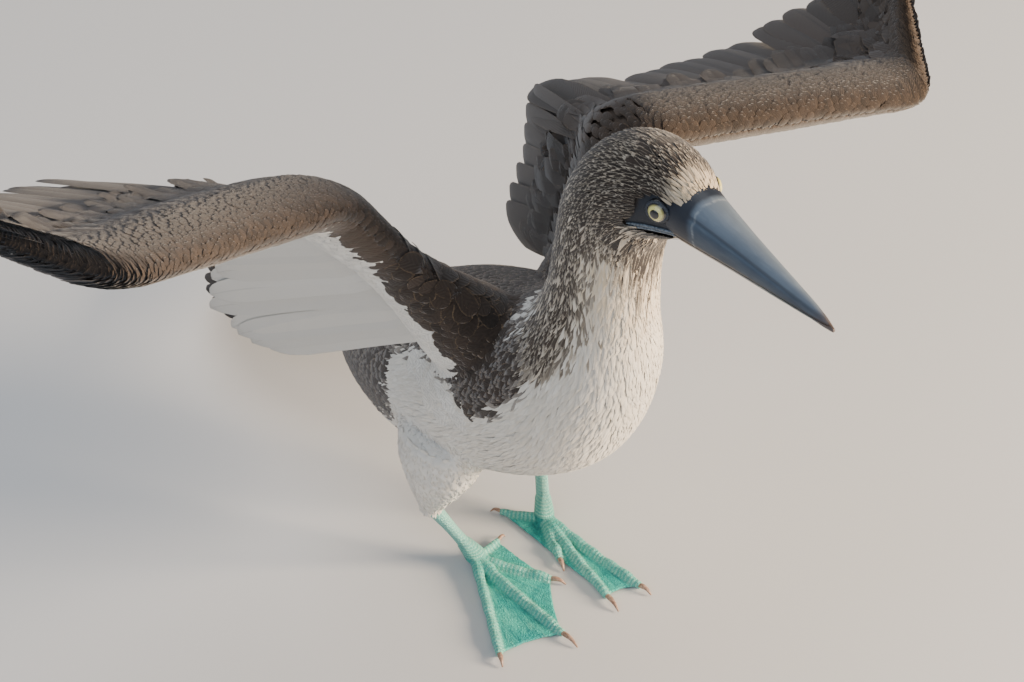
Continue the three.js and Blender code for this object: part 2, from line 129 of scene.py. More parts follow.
def build(name, points, faces, material, slot, maps=None, paint=None, numbers=None, replaces=(), crease=None,
          facing=None):
    """One piece of the bird: arrays of points in mm and faces go into a mesh that rides on the body. With a
    crease of (points per vane, ring) the two long edges of every vane stay sharp, so its top shades as one leaf.
    With facing, every point shades by the direction given for it."""
    faces = [np.asarray(f) for f in faces]
    if volume(points, faces) < 0:
        faces = [f[:, ::-1] for f in faces]
    mesh = bpy.data.meshes.new(name)
    corners = np.concatenate([f.ravel() for f in faces]).astype(np.int32)
    sizes = np.concatenate([np.full(len(f), f.shape[1]) for f in faces])
    mesh.vertices.add(len(points))
    mesh.vertices.foreach_set("co", metres(points).astype(np.float32).ravel())
    mesh.loops.add(len(corners))
    mesh.loops.foreach_set("vertex_index", corners)
    mesh.polygons.add(len(sizes))
    mesh.polygons.foreach_set("loop_start", np.concatenate([[0], np.cumsum(sizes)[:-1]]).astype(np.int32))
    mesh.update(calc_edges=True)
    mesh.polygons.foreach_set("use_smooth", np.ones(len(sizes), bool))
    if crease:
        ends = np.empty(len(mesh.edges) * 2, np.int32)
        mesh.edges.foreach_get("vertices", ends)
        ends = (ends.reshape(-1, 2) % crease[0]) % crease[1]
        sharp = (ends[:, 0] == ends[:, 1]) & ((ends[:, 0] == 0) | (ends[:, 0] == crease[1] // 2))
        mesh.attributes.new("sharp_edge", "BOOLEAN", "EDGE").data.foreach_set("value", sharp)
    for key, uv in (maps or {}).items():
        mesh.uv_layers.new(name=key).uv.foreach_set("vector", uv[corners].astype(np.float32).ravel())
    for key, rgb in (paint or {}).items():
        rgba = np.concatenate([rgb, np.ones((len(rgb), 1))], 1).astype(np.float32)
        mesh.attributes.new(key, "FLOAT_COLOR", "POINT").data.foreach_set("color", rgba.ravel())
    for key, values in (numbers or {}).items():
        mesh.attributes.new(key, "FLOAT", "POINT").data.foreach_set("value", values.astype(np.float32))
    mesh.materials.append(material)
    if facing is not None:
        mesh.normals_split_custom_set_from_vertices(facing.tolist())
    piece = add_object(name, mesh)
    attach(piece, "root")
    if replaces:
        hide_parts(*replaces)

# %% [markdown]
# ## The camera
# A photograph's view is a place, a direction and a lens. The bird's feet lie flat, so the true lengths of its
# toes give the camera's height above it, 41 degrees, and how far the bird is turned, 35 degrees.

# %% Camera at the photograph's view
ELEVATION, HEADING = np.radians(41.0), np.radians(35.0)
LOOK_AT, DISTANCE = np.array([0, 0, 170.0]), 2000.0
MM_PER_PIXEL, PICTURE_WIDTH, SENSOR = 0.575, 1024, 36.0


def standing(point, *axes):
    """The matrix that puts an object at a point in mm with its own axes along three directions."""
    return Matrix.Translation(metres(point)) @ Matrix(np.stack(axes, 1).tolist()).to_4x4()


back = np.array([-np.sin(HEADING) * np.cos(ELEVATION), -np.cos(HEADING) * np.cos(ELEVATION), np.sin(ELEVATION)])
right = np.array([np.cos(HEADING), -np.sin(HEADING), 0.0])
lens = bpy.data.cameras.new("view")
lens.sensor_width = SENSOR
lens.lens = SENSOR * DISTANCE / MM_PER_PIXEL / PICTURE_WIDTH
lens.clip_end = 50
camera = add_object("view", lens)
camera.matrix_world = standing(LOOK_AT + back * DISTANCE, right, np.cross(back, right), back)
bpy.context.scene.camera = camera
print("lens", round(lens.lens, 1), "mm")

# %% [markdown]
# ## The forms under the feathers
# A bird's outline is its plumage, but the plumage lies on a body, so the body comes first as formulas: a spine of
# ovals for the trunk, neck and head, and a wing that is a thick rounded front edge with a thin sheet behind it.
# Modelling them by hand would be quicker for the skin alone. A formula is chosen because every feather has to ask it
# two things: where is the surface here, and which way is out?

# %% The trunk, neck and head
# From tail root to bill base: x, y, z, half width, height above and depth below the middle
BODY = np.array([
    [0, 160, 84, 16, 12, 12], [0, 132, 92, 35, 24, 40], [0, 88, 110, 51, 40, 59], [0, 38, 134, 60, 50, 64],
    [-2, -12, 164, 60, 50, 66], [-5, -52, 192, 54, 47, 59], [-6, -80, 228, 42, 38, 45], [-5, -90, 268, 31, 30, 35],
    [-5, -95, 306, 28, 28, 32], [-4, -102, 338, 29, 29, 31], [-2, -120, 363, 30, 30, 29], [0, -145, 372, 24, 25, 24],
    [0, -164, 373, 17, 18, 18], [0, -176, 372, 10, 11, 12]])


def trunk(u, turn, lift=0.0):
    """The middle of the oval at u, plus cos(turn) half widths sideways and sin(turn) heights square to the spine."""
    row = along_rows(BODY, u)
    before, after = (along_rows(BODY, np.asarray(u) + step)[..., :3] for step in (-.004, .004))
    run = unit(after - before)
    high = np.stack([0 * run[..., 0], run[..., 2], -run[..., 1]], -1)
    reach = np.where(np.sin(turn) > 0, row[..., 4], row[..., 5]) + lift
    across = (row[..., 3] + lift) * np.cos(turn)
    return row[..., :3] + across[..., None] * np.array([1.0, 0, 0]) + (reach * np.sin(turn))[..., None] * high

# %% The wings
# Shoulder, elbow and wrist, which way the hand points, and which way the feathers trail at each of those joints
WINGS = {
    "right": dict(out=-1, joints=[[-42, -20, 218], [-128, -3, 335], [-292, -66, 409]], hand=[-.577, .808, .115],
                  trail=[[-.3, .82, -.48], [-.42, .86, -.27], [-.39, .9, -.15]]),
    "left": dict(out=1, joints=[[36, -20, 218], [34, -53, 342], [207, -92, 322]], hand=[.577, .808, .115],
                 trail=[[.1, .85, -.5], [.19, .89, -.4], [.139, .9, -.41]]),
}
HAND_LENGTH, TABLE_ROWS, EASED_ROWS = 118, 433, 29
# Front edge ahead of the bone, half width and half height of the flesh, by share along arm, forearm and hand
FLESH = np.array([
    [-.15, 16, 24, 15], [.25, 16, 22, 12], [.6, 19, 24, 12], [.9, 24, 30, 15], [1.1, 28, 34, 15], [1.3, 27, 34, 15],
    [1.6, 27, 34, 14], [1.9, 27, 31, 11.5], [2.1, 24, 24, 10], [2.4, 15, 17, 8], [2.75, 10, 11, 5], [3.02, 4, 4, 2.4]])


def wing_table(wing):
    """The bones' broken line, its ways of trailing and its out direction, each eased over .12 of a bone at a joint."""
    joints, trail = np.array(wing["joints"], float), np.array(wing["trail"], float)
    hand = np.array(wing["hand"], float)
    joints = np.concatenate([joints, joints[2:] + hand * HAND_LENGTH])
    s = np.linspace(-0.3, 3.3, TABLE_ROWS)
    k = np.clip(s.astype(int), 0, 2)
    t = s - k
    line = joints[k] + (joints[k + 1] - joints[k]) * t[:, None]
    t = np.clip(t, 0, 1)
    wrist = unit(trail[2] * 0.55 + hand * 0.45)
    way = np.where(
        (k == 0)[:, None], blend(trail[0], trail[1], t), np.where(
            (k == 1)[:, None], blend(blend(trail[1], trail[2], np.sqrt(t)), wrist, t**5), blend(wrist, hand, t)))
    kernel = np.ones(EASED_ROWS) / EASED_ROWS
    smooth = lambda rows: np.stack([
        np.convolve(np.pad(c, EASED_ROWS // 2, mode="reflect", reflect_type="odd"), kernel, "valid")
        for c in rows.T], 1)
    line, way = smooth(line), unit(smooth(way))
    span = np.gradient(line, axis=0)
    side = unit(span - (span * way).sum(1, keepdims=True) * way)
    return s, line, way, side, unit(np.cross(side, way)) * wing["out"]


for wing in WINGS.values():
    wing["table"] = wing_table(wing)


def wing_frame(wing, s):
    """Bone point, trailing way, sideways and out direction at s, read off the wing's table by straight mixing."""
    places, *columns = wing["table"]
    return [np.stack([np.interp(s, places, c) for c in rows.T], -1) for rows in columns]


def wing_profile(s, q):
    """q is mm over the skin from the front edge, plus above and minus below: a quarter oval, then a sheet
    that eases to 3 mm from the bone's plane and droops with the square of its length."""
    front, half, high = (np.interp(s, FLESH[:, 0], FLESH[:, k]) for k in (1, 2, 3))
    quarter = (half + high) / 2 * np.pi / 2
    far = np.abs(q)
    turn = np.clip(far / quarter, 0, 1) * np.pi / 2
    beyond = np.maximum(far - quarter, 0)
    x = half * (1 - np.cos(turn)) + beyond - front
    rest = np.where(q > 0, 3.0, 1.5)
    z = high * np.sin(turn) + (rest - high) * ease(0, 46, beyond)
    return x, np.sign(q) * z - 0.06 * np.maximum(x - 60, 0) ** 2 / 128


def wing_skin(wing):
    """The surface of one wing as a function of s, q and lift: the profile in the wing's frame, moved out by lift."""
    def at(s, q, lift=0.0):
        line, way, _, out = wing_frame(wing, s)
        x, z = wing_profile(s, q)
        x1, z1 = wing_profile(s, q + 0.3)
        x0, z0 = wing_profile(s, q - 0.3)
        slope = unit(np.stack([x1 - x0, z1 - z0], -1))
        x, z = x - slope[..., 1] * lift, z + slope[..., 0] * lift
        return line + way * x[..., None] + out * z[..., None]
    return at


for wing in WINGS.values():
    wing["skin"] = wing_skin(wing)
print("wing tips", [np.round(wing_frame(w, 3.0)[0]).tolist() for w in WINGS.values()])

# %% Legs
# Heel to knee: share, radius across, radius along
THIGH = np.array([[-.04, 6.5, 6.5], [.1, 9, 9], [.3, 15, 17], [.6, 22, 27], [1, 25, 30]])
# Middle of the toes' root, heel and knee, and each toe's length and its angle outwards from straight ahead
LEGS = {
    "right": dict(out=-1, base=[-24, 5, 8], heel=[-46, 18, 50], knee=[-41, 10, 118],
                  toes=dict(hallux=[29, -106], inner=[58, -36], middle=[94, -5.6], outer=[89, 24])),
    "left": dict(out=1, base=[31, 10, 8], heel=[38, 26, 52], knee=[39, 10, 118],
                 toes=dict(hallux=[34, -140], inner=[45, -20], middle=[89, -5.5], outer=[90, 10])),
}


def thigh_skin(leg):
    """Round the line from heel to knee at t: an oval whose two radii come from the stations."""
    heel, knee = np.array(leg["heel"], float), np.array(leg["knee"], float)
    way = unit(knee - heel)
    side = unit(np.cross([0, 1, 0], way))
    fore = np.cross(way, side)

    def at(t, turn, lift=0.0):
        wide, deep = (np.interp(t, THIGH[:, 0], THIGH[:, k]) + lift for k in (1, 2))
        return (heel + (knee - heel) * np.asarray(t)[..., None] + side * (wide * np.cos(turn))[..., None]
                + fore * (deep * np.sin(turn))[..., None])
    return at


def loft(at, a, sides, lift=0.0):
    """Rings of a surface at every a, each with equal turns, as the points and faces of a closed tube."""
    grid_a, grid_turn = np.meshgrid(a, turns(sides), indexing="ij")
    return closed_tube(at(grid_a, grid_turn, lift))

# %% [markdown]
# ## One skin
# The trunk, neck, head, thighs and the flesh of both wings grow together with no seam. Joining them by hand with
# bridged edges would be slow, so the closed forms are pushed into each other and a voxel remesh keeps only the
# outside. A little smoothing then turns each join into the soft hollow of a real armpit or groin.

# %% Melt closed shells into one skin
def shaped(thing):
    """The mesh that an object's modifiers make, and its points in mm."""
    done = thing.evaluated_get(bpy.context.evaluated_depsgraph_get()).to_mesh()
    points = np.empty(len(done.vertices) * 3, np.float32)
    done.vertices.foreach_get("co", points)
    return done, points.reshape(-1, 3).astype(float) * 1000


def take_away(thing):
    """Removes a helper object and its mesh."""
    mesh = thing.data
    bpy.data.objects.remove(thing)
    bpy.data.meshes.remove(mesh)


def melted(shells, voxel, rounds):
    """Points in mm and quads of everything inside any shell, on cubes of the voxel's size, smoothed in rounds."""
    mesh = bpy.data.meshes.new("shells")
    points = np.concatenate([p for p, _ in shells])
    starts = np.cumsum([0] + [len(p) for p, _ in shells])
    faces = [(f + first).tolist() if volume(p, fs) > 0 else (f + first)[:, ::-1].tolist()
             for first, (p, fs) in zip(starts, shells) for f in fs]
    mesh.from_pydata(points / 1000, [], [f for part in faces for f in part])
    shape = add_object("shells", mesh)
    grow = shape.modifiers.new("melt", "REMESH")
    grow.mode, grow.voxel_size = "VOXEL", voxel / 1000
    soft = shape.modifiers.new("soft", "SMOOTH")
    soft.factor, soft.iterations = 0.5, rounds
    done, points = shaped(shape)
    quads = np.empty(len(done.loops), np.int32)
    done.loops.foreach_get("vertex_index", quads)
    take_away(shape)
    return points, quads.reshape(-1, 4)


COAT_DEPTH, THIGH_COAT_DEPTH = 2.2, 1.6
SHELL_SIDES = 28


def wing_flesh(wing):
    """The wing's quarter ovals above and below, closed behind the flesh, as rings along the bones."""
    def at(s, turn, lift):
        front, half, high = (np.interp(s, FLESH[:, 0], FLESH[:, k]) + (lift if k > 1 else 0) for k in (1, 2, 3))
        line, way, _, out = wing_frame(wing, s)
        x = half - front + half * np.cos(turn) * np.where(np.cos(turn) > 0, 1.15, 1.0)
        return line + way * x[..., None] + out * (high * np.sin(turn))[..., None]
    return loft(at, np.linspace(-0.12, 3.0, 80), SHELL_SIDES, -COAT_DEPTH)


def shoulder(wing):
    """The muscle that widens the arm where it meets the body: an oval that narrows outwards along the bone."""
    def at(s, turn, lift):
        line, way, _, out = wing_frame(wing, s)
        wide, high = (np.interp(s, [-.3, 0, .25, .5], radii) for radii in ([34, 31, 24, 19], [26, 23, 15, 10]))
        x = 4 + wide * np.cos(turn)
        return line + way * x[..., None] + out * (high * np.sin(turn))[..., None]
    return loft(at, np.linspace(-.28, .5, 20), SHELL_SIDES)


TAIL_ROOT, TAIL_SLOPE = np.array([0, 140, 88.]), .31
TAIL_WAY = np.array([0, np.cos(TAIL_SLOPE), -np.sin(TAIL_SLOPE)])
TAIL_UP = np.array([0, np.sin(TAIL_SLOPE), np.cos(TAIL_SLOPE)])
# Distance behind the tail's root, half width, half height
STUB = np.array([[-22, 22, 14], [10, 19, 10], [34, 14, 4]])
stub_turn = turns(SHELL_SIDES)
stub_rings = (TAIL_ROOT + TAIL_WAY * STUB[:, :1])[:, None] + np.stack([
    STUB[:, 1:2] * np.cos(stub_turn), STUB[:, 2:] * np.sin(stub_turn) * np.sin(TAIL_SLOPE),
    STUB[:, 2:] * np.sin(stub_turn) * np.cos(TAIL_SLOPE)], -1)
skin_shells = [
    loft(trunk, np.linspace(0, 1, 90), 48, -COAT_DEPTH), *map(wing_flesh, WINGS.values()),
    *(loft(thigh_skin(leg), np.linspace(-0.04, 1, 24), SHELL_SIDES, -THIGH_COAT_DEPTH) for leg in LEGS.values()),
    closed_tube(stub_rings), *map(shoulder, WINGS.values())]
SKIN_VOXEL, SKIN_ROUNDS = 2.3, 22
skin_points, skin_quads = melted(skin_shells, SKIN_VOXEL, SKIN_ROUNDS)
print("skin", len(skin_points), "points")

# %% Ask the skin where it is
skin_mesh = bpy.data.meshes.new("skin_shape")
skin_mesh.from_pydata(skin_points / 1000, [], skin_quads.tolist())
skin_shape = add_object("skin_shape", skin_mesh)


def wrapped(points, offset):
    """Every point moved to its nearest place on the skin, or offset mm above it, by one Shrinkwrap."""
    mesh = bpy.data.meshes.new("asking")
    mesh.vertices.add(len(points))
    mesh.vertices.foreach_set("co", (points / 1000).astype(np.float32).ravel())
    asking = add_object("asking", mesh)
    wrap = asking.modifiers.new("wrap", "SHRINKWRAP")
    wrap.target, wrap.wrap_mode, wrap.offset = skin_shape, "ABOVE_SURFACE", offset / 1000
    _, moved = shaped(asking)
    take_away(asking)
    return moved


def on_skin(points):
    """Nearest skin points and outward directions, for an array of any shape."""
    flat = points.reshape(-1, 3)
    foot = wrapped(flat, 0)
    return foot.reshape(points.shape), unit(wrapped(flat, 1.0) - foot).reshape(points.shape)


def vane_axes(middle, normal):
    """Sideways and outward directions of vanes, square to their middle lines, from a rough outward direction."""
    along = unit(np.gradient(middle, axis=1))
    side = unit(np.cross(along, normal))
    return side, unit(np.cross(side, along))


DEEPEST_ROOT = -5


def settle(middle, out, room):
    """Lifts vanes that would sink where two forms grow together: each station keeps at least room mm over the skin.
    The last value says which vanes lie free, so the buried ones can be left out."""
    foot, normal = on_skin(middle)
    above = ((middle - foot) * normal).sum(-1)
    lifted = foot + normal * np.maximum(above, room)[..., None]
    push = ease(0, 1.5, room - above)[..., None]
    side, out = vane_axes(lifted, unit(out * (1 - push) + normal * push))
    return lifted, side, out, above[:, 0] > DEEPEST_ROOT

# %% [markdown]
# ## Materials
# Feathers, horn and scaly skin are all patterns that follow the surface, so they read the piece's own map or its
# point colours. Image textures would have to be painted for thousands of feathers. A pattern in nodes is drawn
# once in each vane's own square, from its root to its tip, and every vane gets it.

# %% Small node tools
class Pattern:
    """A material that is drawn node by node. Most methods add a node or two and give back the last one's output."""

    def __init__(self, name, **sockets):
        """A new material with one shader, whose plain sockets are set straight away."""
        self.material = bpy.data.materials.new(name)
        self.material.use_nodes = True
        self.tree = self.material.node_tree
        self.shader = self.tree.nodes["Principled BSDF"]
        for key, value in sockets.items():
            self.shader.inputs[key.replace("_", " ")].default_value = value

    def feed(self, sockets, values):
        """Sockets in their order, each with a value, another node's output, or None to leave it as it is."""
        for socket, value in zip(sockets, values):
            if isinstance(value, bpy.types.NodeSocket):
                self.tree.links.new(value, socket)
            elif value is not None:
                socket.default_value = value

    def node(self, kind, *inputs, **settings):
        """One node: inputs in their order, and its settings by name."""
        made = self.tree.nodes.new("ShaderNode" + kind)
        for key, value in settings.items():
            setattr(made, key, value)
        self.feed(made.inputs, inputs)
        return made

    def maths(self, operation, a, b=0.0, c=0.0):
        """One step of arithmetic on numbers."""
        return self.node("Math", a, b, c, operation=operation).outputs[0]

    def times(self, a, b):
        """a times b."""
        return self.maths("MULTIPLY", a, b)

    def line(self, a, slope, start):
        """A straight line: a times slope plus start."""
        return self.maths("MULTIPLY_ADD", a, slope, start)

    def rest(self, share):
        """1 less the share."""
        return self.maths("SUBTRACT", 1.0, share)

    def ramp(self, value, low, high):
        """0 below low, 1 above high, smooth between."""
        return self.node("MapRange", value, low, high, 0.0, 1.0, interpolation_type="SMOOTHSTEP").outputs[0]

    def point(self, name, output="Fac"):
        """A number, or with another output a colour or vector, that each point of the mesh carries."""
        return self.node("Attribute", attribute_name=name).outputs[output]

    def place(self, scale=(1, 1, 1)):
        """Object coordinates in metres, stretched by scale."""
        return self.node("Mapping", self.node("TexCoord").outputs["Object"], None, None, scale).outputs[0]

    def noise(self, where, scale, detail=3.0, rough=0.55):
        """Clouds from 0 to 1, scale of them to the metre, with finer ones in detail steps that fade by rough."""
        return self.node("TexNoise", where, None, scale, detail, rough).outputs[0]

    def mix(self, share, a, b, how="MIX"):
        """Two colours mixed by share, on the colour sockets of a Mix node."""
        made = self.node("Mix", data_type="RGBA", blend_type=how)
        self.feed([made.inputs[k] for k in (0, 6, 7)], (share, a, b))
        return made.outputs[2]

    def coat(self, colour, share, strength, tint):
        """A colour with tint laid over it by share times strength."""
        return self.mix(self.times(share, strength), colour, tint)

    def shaded(self, colour, shade):
        """A colour times a number."""
        return self.mix(1.0, colour, self.node("CombineXYZ", shade, shade, shade).outputs[0], "MULTIPLY")

    def done(self, colour, height=None, distance=0.0, strength=1.0):
        """The material with its colour, and with a surface raised by height times distance in metres."""
        self.tree.links.new(colour, self.shader.inputs["Base Color"])
        if height is not None:
            bump = self.node("Bump", strength, distance)
            self.tree.links.new(height, bump.inputs["Height"])
            self.tree.links.new(bump.outputs[0], self.shader.inputs["Normal"])
        return self.material

# %% Feather material
def feather_material(name, barbs, rim_from, rim_to, shaft, rough=0.8, relief=.22):
    """The point colour tint inside, rim from rim_from to rim_to of the way to the vane's edge or tip, barbs that
    slant forwards from the shaft as fine dark and light lines, and a thin shaft."""
    p = Pattern(name, Roughness=rough, Sheen_Weight=0.25, Sheen_Roughness=0.5, Specular_IOR_Level=0.2)
    vane = p.node("SeparateXYZ", p.node("UVMap", uv_map="Vane").outputs[0])
    side = p.maths("ABSOLUTE", p.line(vane.outputs[0], 2.0, -1.0))
    run = vane.outputs[1]
    ragged = p.noise(p.place(), 900.0, 2.0)
    edge = p.maths("MAXIMUM", p.times(side, 0.96), run)
    edge = p.line(p.maths("SUBTRACT", ragged, 0.5), 0.35, edge)
    slant = p.line(run, barbs, p.times(side, -0.3 * barbs))
    barb = p.line(p.maths("SINE", p.times(slant, 6.283)), 0.5, 0.5)
    tint, rim = p.point("tint", "Color"), p.point("rim", "Color")
    colour = p.mix(p.ramp(edge, rim_from, rim_to), tint, rim)
    colour = p.shaded(colour, p.line(barb, relief, 1 - .64 * relief))
    if shaft:
        colour = p.coat(colour, p.rest(p.ramp(side, 0.03, 0.09)), shaft, (0.012, 0.009, 0.007, 1))
    return p.done(colour, barb, 0.0002, 2.2 * relief)


DOWN = feather_material("soft_plumage", 9.0, 0.55, 0.95, 0.0, relief=.05)
STREAKED = feather_material("streaked_plumage", 6.0, 0.7, 0.92, 0.0, relief=.12)
SMALL = feather_material("small_coverts", 7.0, 0.78, 1.05, 0.1)
LONG_WHITE = feather_material("white_axillaries", 90.0, 0.9, 1.1, 0.12, relief=.3)
LARGE = feather_material("flight_feathers", 46.0, 0.9, 1.0, 0.5, rough=0.62)

# %% [markdown]
# ## Feathers
# Each feather is a thin arched shell from root to tip. Flat cards would be lighter but have no back, and particle
# hair can't leave Blender. One function carries a small cross-section along a path for thousands of feathers
# together, and the paths step over the skin's formula, so every vane follows the curve it lies on.

# %% One shell for many vanes
RINGS = {
    4: (np.array([-1, 0, 1, 0.]), np.array([0, 1, 0, 1.]), np.array([0, 0, 0, -1.])),
    8: (np.array([-1, -.55, 0, .55, 1, .55, 0, -.55]), np.array([0, .72, 1, .72, 0, .72, 1, .72]),
        np.array([0, 0, 0, 0, 0, -1, -1, -1.])),
}
MOST_TRIANGLES = 190000
EDGE_CURL = .22
ALL = slice(None)


def vane_faces(stations, ring):
    """The quads along one vane and the caps that close its root and tip."""
    half = ring // 2
    j = np.arange(1, half - 1)
    cap3 = np.array([[0, 1, ring - 1], [half - 1, half, half + 1]])
    cap4 = np.stack([j, j + 1, ring - j - 1, ring - j], 1)
    last = (stations - 1) * ring
    quads = np.concatenate([ring_faces(stations, ring), cap4[:, ::-1], cap4 + last])
    return quads, np.concatenate([cap3[:, ::-1], cap3 + last])


def feathers(name, keep, middle, side, out, half, crown, thick, ring, tint, rim, home, material,
             slot="brown_plumage", replaces=(), soft=False):
    """Middle line (n, stations, 3) plus side times half width times the ring's across, plus out times the ring's
    arch and wall, for the vanes to keep. Tint and rim are one colour per vane; home is its root on the unwrap. A
    soft vane shades by the way the skin under it faces, as down does, whose barbs are too fine to shade alone."""
    middle, side, out, half, crown, tint, rim, home = (
        rows[keep] for rows in (middle, side, out, half, crown, tint, rim, home))
    n, stations = middle.shape[:2]
    across, arch, wall = RINGS[ring]
    points = (middle[:, :, None] + side[:, :, None] * (half[..., None] * across)[..., None]
              + out[:, :, None] * (crown[..., None] * arch + thick * wall)[..., None])
    if soft:
        facing = unit(out[:, :, None] * np.where(wall < 0, -1, 1)[:, None]
                      + side[:, :, None] * (across * EDGE_CURL)[:, None])
    quads, caps = vane_faces(stations, ring)
    size = stations * ring
    vane_uv = np.stack(np.meshgrid(np.linspace(0, 1, stations), across * .5 + .5, indexing="ij")[::-1], -1)
    vane_uv = vane_uv.reshape(-1, 2)
    pieces = max(1, int(np.ceil(n * (2 * len(quads) + len(caps)) / MOST_TRIANGLES)))
    for k, part in enumerate(np.array_split(np.arange(n), pieces)):
        first = (np.arange(len(part)) * size)[:, None, None]
        maps = {"OFBake": (home[part][:, None] + (vane_uv - .5) * .003).reshape(-1, 2),
                "Vane": np.tile(vane_uv, (len(part), 1))}
        build(f"{name}_{k + 1}" if pieces > 1 else name, points[part].reshape(-1, 3),
              [(first + quads).reshape(-1, 4), (first + caps).reshape(-1, 3)], material, slot, maps,
              {"tint": np.repeat(tint[part], size, 0), "rim": np.repeat(rim[part], size, 0)}, replaces=replaces,
              crease=(size, ring), facing=facing[part].reshape(-1, 3) if soft else None)
    print(name, n, "vanes in", pieces)


# Share of the length, share of the half width
SOFT_TIP = np.array([[0, .6], [.35, 1], [.72, .74], [1, .08]])
ROUND_TIP = np.array([[0, .45], [.3, .9], [.62, 1], [.84, .86], [.95, .55], [1, .12]])


def lie(surface, a, b, way_a, way_b, length, shape, root_lift, tip_lift, steps):
    """Middle lines of vanes that start at a, b and walk over the surface: the step in a is way_a over the length of
    the surface's slope there, and the same for b, so the walk is as long as the feather. The slopes are taken over
    steps in a and b. The vanes rise from root_lift to tip_lift."""
    ha, hb = steps
    slope_a = (surface(a + ha, b) - surface(a - ha, b)) / (2 * ha)
    slope_b = (surface(a, b + hb) - surface(a, b - hb)) / (2 * hb)
    total = np.hypot(way_a, way_b)
    rate_a = way_a / total / np.linalg.norm(slope_a, axis=-1)
    rate_b = way_b / total / np.linalg.norm(slope_b, axis=-1)
    t = shape[:, 0]
    walked = length[:, None] * t
    grid_a, grid_b = a[:, None] + rate_a[:, None] * walked, b[:, None] + rate_b[:, None] * walked
    lift = root_lift + (tip_lift - root_lift)[:, None] * t
    middle = surface(grid_a, grid_b, lift)
    return middle, *vane_axes(middle, unit(surface(grid_a, grid_b, lift + 1) - middle))


FULL_TURN = 2 * np.pi
ROOT_JITTER = .5


def rows_over(surface, low, high, gap_along, gap_across, b0, b1):
    """Roots in staggered rows, from low to high in a and from b0 to b1 in b: rows a gap_along apart, from the
    surface's own length, and in each row as many roots as gap_across fits, each moved by a random share of the
    gaps. A surface that b goes right round is measured along two opposite sides."""
    a = np.linspace(low, high, 400)
    mid = surface(a, np.full(400, b0))
    if b1 - b0 == FULL_TURN:
        mid = (mid + surface(a, np.full(400, b0 + np.pi))) / 2
    far = np.concatenate([[0], np.cumsum(np.linalg.norm(np.diff(mid, axis=0), axis=1) /
                                         ((gap_along(a[1:]) + gap_along(a[:-1])) / 2))])
    row_a = np.interp(np.arange(0.5, far[-1]), far, a)
    b = np.linspace(b0, b1, 60)
    ring = surface(row_a[:, None] + 0 * b, b + 0 * row_a[:, None])
    round_length = np.linalg.norm(np.diff(ring, axis=1), axis=2).sum(1)
    count = np.maximum((round_length / gap_across(row_a)).astype(int), 3)
    row = np.repeat(np.arange(len(row_a)), count)
    place_in_row = np.arange(len(row)) - np.repeat(np.cumsum(count) - count, count)
    step_a = np.gradient(row_a)[row]
    jitter = luck.uniform(-.5, .5, (2, len(row))) * ROOT_JITTER
    out_a = row_a[row] + jitter[0] * step_a
    out_b = b0 + (b1 - b0) * (place_in_row + .5 * (row % 2) + .25 + jitter[1]) / count[row]
    return np.clip(out_a, low, high), out_b

# %% [markdown]
# ## Markings
# The bird is white below and brown above, with a head and neck of brown feathers that each carry a pale streak.
# The markings are smooth functions of the place on the trunk, so the skin and the feathers over it agree. Each
# feather then draws its own luck, which is what makes a streaked neck look streaked and not striped.

# %% Plumage colours
DARK, BROWN, GOLDEN = np.array([.028, .019, .014]), np.array([.062, .041, .028]), np.array([.20, .135, .08])
CREAM, WHITE, WARM = np.array([.66, .58, .46]), np.array([.80, .77, .71]), np.array([.60, .47, .31])
GREY_CREAM, SKIN_BLACK = np.array([.50, .45, .39]), np.array([.018, .021, .028])
EYE = np.array([14.9, -153, 375.5])


def bare_face(points):
    """Above 0 on bare skin: mm inside a limit about the eye that turns from bill to brow, ear, gape and chin."""
    ahead, above = -(points[..., 1] - EYE[1]), points[..., 2] - EYE[2]
    turn = np.degrees(np.arctan2(above, ahead)) % 360
    limit = np.interp(turn, [0, 18, 38, 60, 90, 135, 180, 212, 225, 240, 270, 300, 325, 345, 360],
                      [45, 24, 12.5, 9.2, 8.2, 8.0, 8.8, 12, 24, 19.5, 19.0, 23, 33, 45, 45])
    return np.where(points[..., 1] < -125, limit - np.hypot(ahead, above), -9.0)


def markings(u, turn, chance):
    """How brown and how streaked a place is, each 0 to 1, with chance moving the edges."""
    v = np.sin(turn) + (chance - .5) * .16
    edge = np.interp(u, [0, .08, .14, .2, .225, .25, .3, .35, .4, .45, .5, .56],
                     [.3, -.02, -.34, -.42, -.3, .5, .6, .3, -.2, -.12, .3, .6])
    brown = ease(edge - .12, edge + .1, v) * (1 - ease(.47, .53, u + (chance - .5) * .04))
    front = ease(.05, .95, -v) * (1 - ease(.62, .76, u))
    streaked = ease(.43, .5, u + .06 * v + (chance - .5) * .05) * (1 - front)
    return brown, streaked


